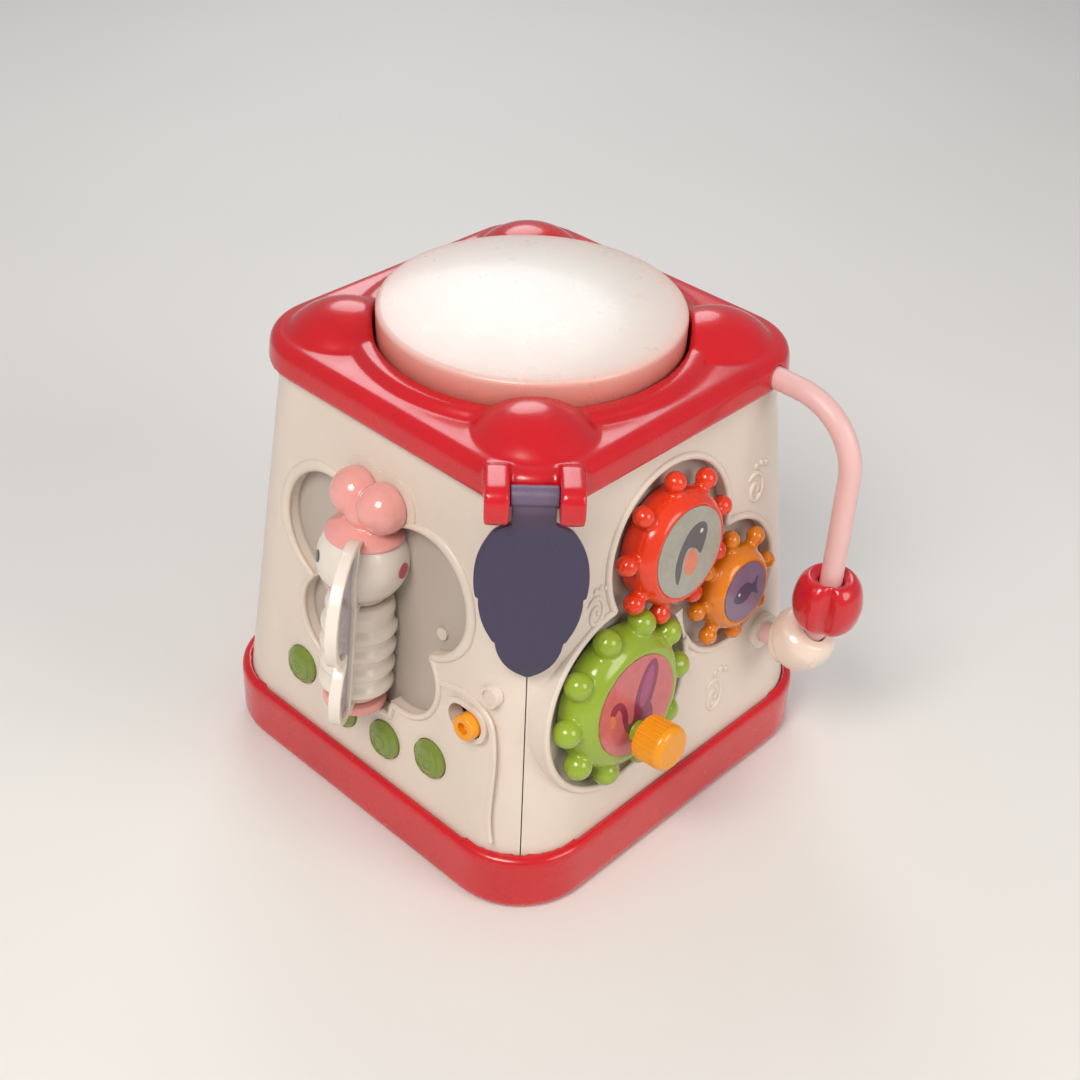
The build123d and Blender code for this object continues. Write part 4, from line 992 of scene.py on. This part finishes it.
def numerals():
    """Quarter-hour numbers standing a little out of the dial."""
    for number, angle in ((12, 90), (3, 0), (6, -90), (9, 180)):
        curve = bpy.data.curves.new(f"numeral_{number}", "FONT")
        curve.body = str(number)
        curve.size = 9.0 * MM
        curve.extrude = 0.35 * MM
        curve.bevel_depth = 0.12 * MM
        curve.align_x = "CENTER"
        curve.align_y = "CENTER"
        source = bpy.data.objects.new(f"numeral_{number}_text", curve)
        bpy.context.scene.collection.objects.link(source)
        bpy.context.view_layer.update()
        mesh = bpy.data.meshes.new_from_object(source.evaluated_get(bpy.context.evaluated_depsgraph_get()))
        bpy.data.objects.remove(source)
        x = NUMERAL_REACH * math.cos(math.radians(angle))
        up = NUMERAL_REACH * math.sin(math.radians(angle))
        mesh.transform(CLOCK.frame(x, CLOCK_UP + up, DIAL_OUT + 1.9))
        piece(f"numeral_{number}", mesh, "housing", "red_shell", smooth=False)


def dial_ring():
    """Pink ring near the edge of the dial."""
    loop = [(x, CLOCK_UP + y) for x, y in circle_run(0, 0, 34.6, 120)][:-1]
    mesh = ridge_mesh("dial_ring", [on_side(CLOCK, loop, DIAL_OUT + 1.6)], 0.9, 0.7, closed=True)
    piece("dial_ring", mesh, "housing", "hat_pink")


def window_rim():
    """Raised lip round the roller's window."""
    half_x, half_y, corner = 33.6, 19.6, 5.0
    run = []
    for cx, cy, start in ((1, 1, 0), (-1, 1, 90), (-1, -1, 180), (1, -1, 270)):
        for k in range(9):
            angle = math.radians(start + 90 * k / 8)
            run.append((cx * (half_x - corner) + corner * math.cos(angle),
                        ROLLER_UP + cy * (half_y - corner) + corner * math.sin(angle)))
    mesh = ridge_mesh("window_rim", [on_side(ROLLER, run, 1.1)], 1.1, 0.6, closed=True)
    piece("window_rim", mesh, "housing", "white_panel")


numerals()
dial_ring()
window_rim()


# ---------------------------------------------------------------- face of the figure

def smile():
    """Small calm smile line on the head."""
    head_up = 88.0
    radius = 15.5
    run = []
    for k in range(17):
        azimuth = math.radians(-14 + 28 * k / 16)
        latitude = math.radians(-24 + 5 * (abs(k - 8) / 8) ** 2)
        direction = (BUTTERFLY.x * math.sin(azimuth) * math.cos(latitude)
                     + BUTTERFLY.out * math.cos(azimuth) * math.cos(latitude)
                     + BUTTERFLY.up * math.sin(latitude))
        run.append((BUTTERFLY.at(0, head_up, PAGE_OUT) + direction * radius * MM, direction))
    piece("smile_line", ridge_mesh("smile_line", [run], 0.32, 0.14, 8), "housing", "cheek_pink")


smile()


# ---------------------------------------------------------------- floor, light and camera

def make_floor():
    """Plain pale studio floor."""
    build = bmesh.new()
    bmesh.ops.create_grid(build, x_segments=2, y_segments=2, size=3.0)
    mesh = bpy.data.meshes.new("studio_floor")
    build.to_mesh(mesh)
    build.free()
    floor = bpy.data.objects.new("studio_floor", mesh)
    bpy.context.scene.collection.objects.link(floor)
    shader = Shader("floor_pale")
    cloud = shader.noise(3.0)
    shader.colour(shader.ramp(cloud, [(0.3, (0.78, 0.77, 0.75)), (0.7, (0.81, 0.80, 0.78))]))
    shader.set(Roughness=0.7)
    mesh.materials.append(shader.material)


def area_light(name, at, aim, size, power, colour):
    """Round soft light aimed at a point."""
    data = bpy.data.lights.new(name, "AREA")
    data.shape = "DISK"
    data.size = size
    data.energy = power
    data.color = colour
    lamp = bpy.data.objects.new(name, data)
    lamp.location = at
    lamp.rotation_euler = (Vector(aim) - Vector(at)).to_track_quat("-Z", "Y").to_euler()
    bpy.context.scene.collection.objects.link(lamp)


def make_light():
    """Key, fill and back light with a faint even sky."""
    aim = (0.0, 0.0, 0.09)
    area_light("key_light", (0.25, -0.75, 0.95), aim, 0.50, 8.6, (1.0, 0.93, 0.85))
    area_light("fill_light", (0.95, 0.15, 0.60), aim, 0.60, 3.8, (1.0, 0.94, 0.88))
    area_light("back_light", (-0.70, 0.60, 0.80), aim, 0.60, 3.0, (0.95, 0.97, 1.0))
    world = bpy.data.worlds.new("studio")
    world.use_nodes = True
    background = world.node_tree.nodes["Background"]
    background.inputs["Color"].default_value = (0.92, 0.93, 0.95, 1)
    background.inputs["Strength"].default_value = 0.37
    bpy.context.scene.world = world


# Where the photograph was taken from, fitted to the body's straight edges.
CAMERA_AT = Vector((0.32918, -0.35085, 0.43221))
CAMERA_LOOK = Vector((-0.54469, 0.59571, -0.59030))
CAMERA_LENS = 54.24
CAMERA_ROLL = 2.72


def make_camera():
    """Camera at the photograph's place, angle and lens."""
    data = bpy.data.cameras.new("camera")
    data.lens = CAMERA_LENS
    data.sensor_width = 36.0
    data.clip_start = 0.01
    camera = bpy.data.objects.new("camera", data)
    level = CAMERA_LOOK.to_track_quat("-Z", "Y").to_matrix()
    turn = level @ Matrix.Rotation(math.radians(CAMERA_ROLL), 3, "Z")
    camera.matrix_world = Matrix.Translation(CAMERA_AT) @ turn.to_4x4()
    bpy.context.scene.collection.objects.link(camera)
    bpy.context.scene.camera = camera


make_floor()
make_light()
make_camera()
bpy.context.scene.view_settings.view_transform = "Standard"
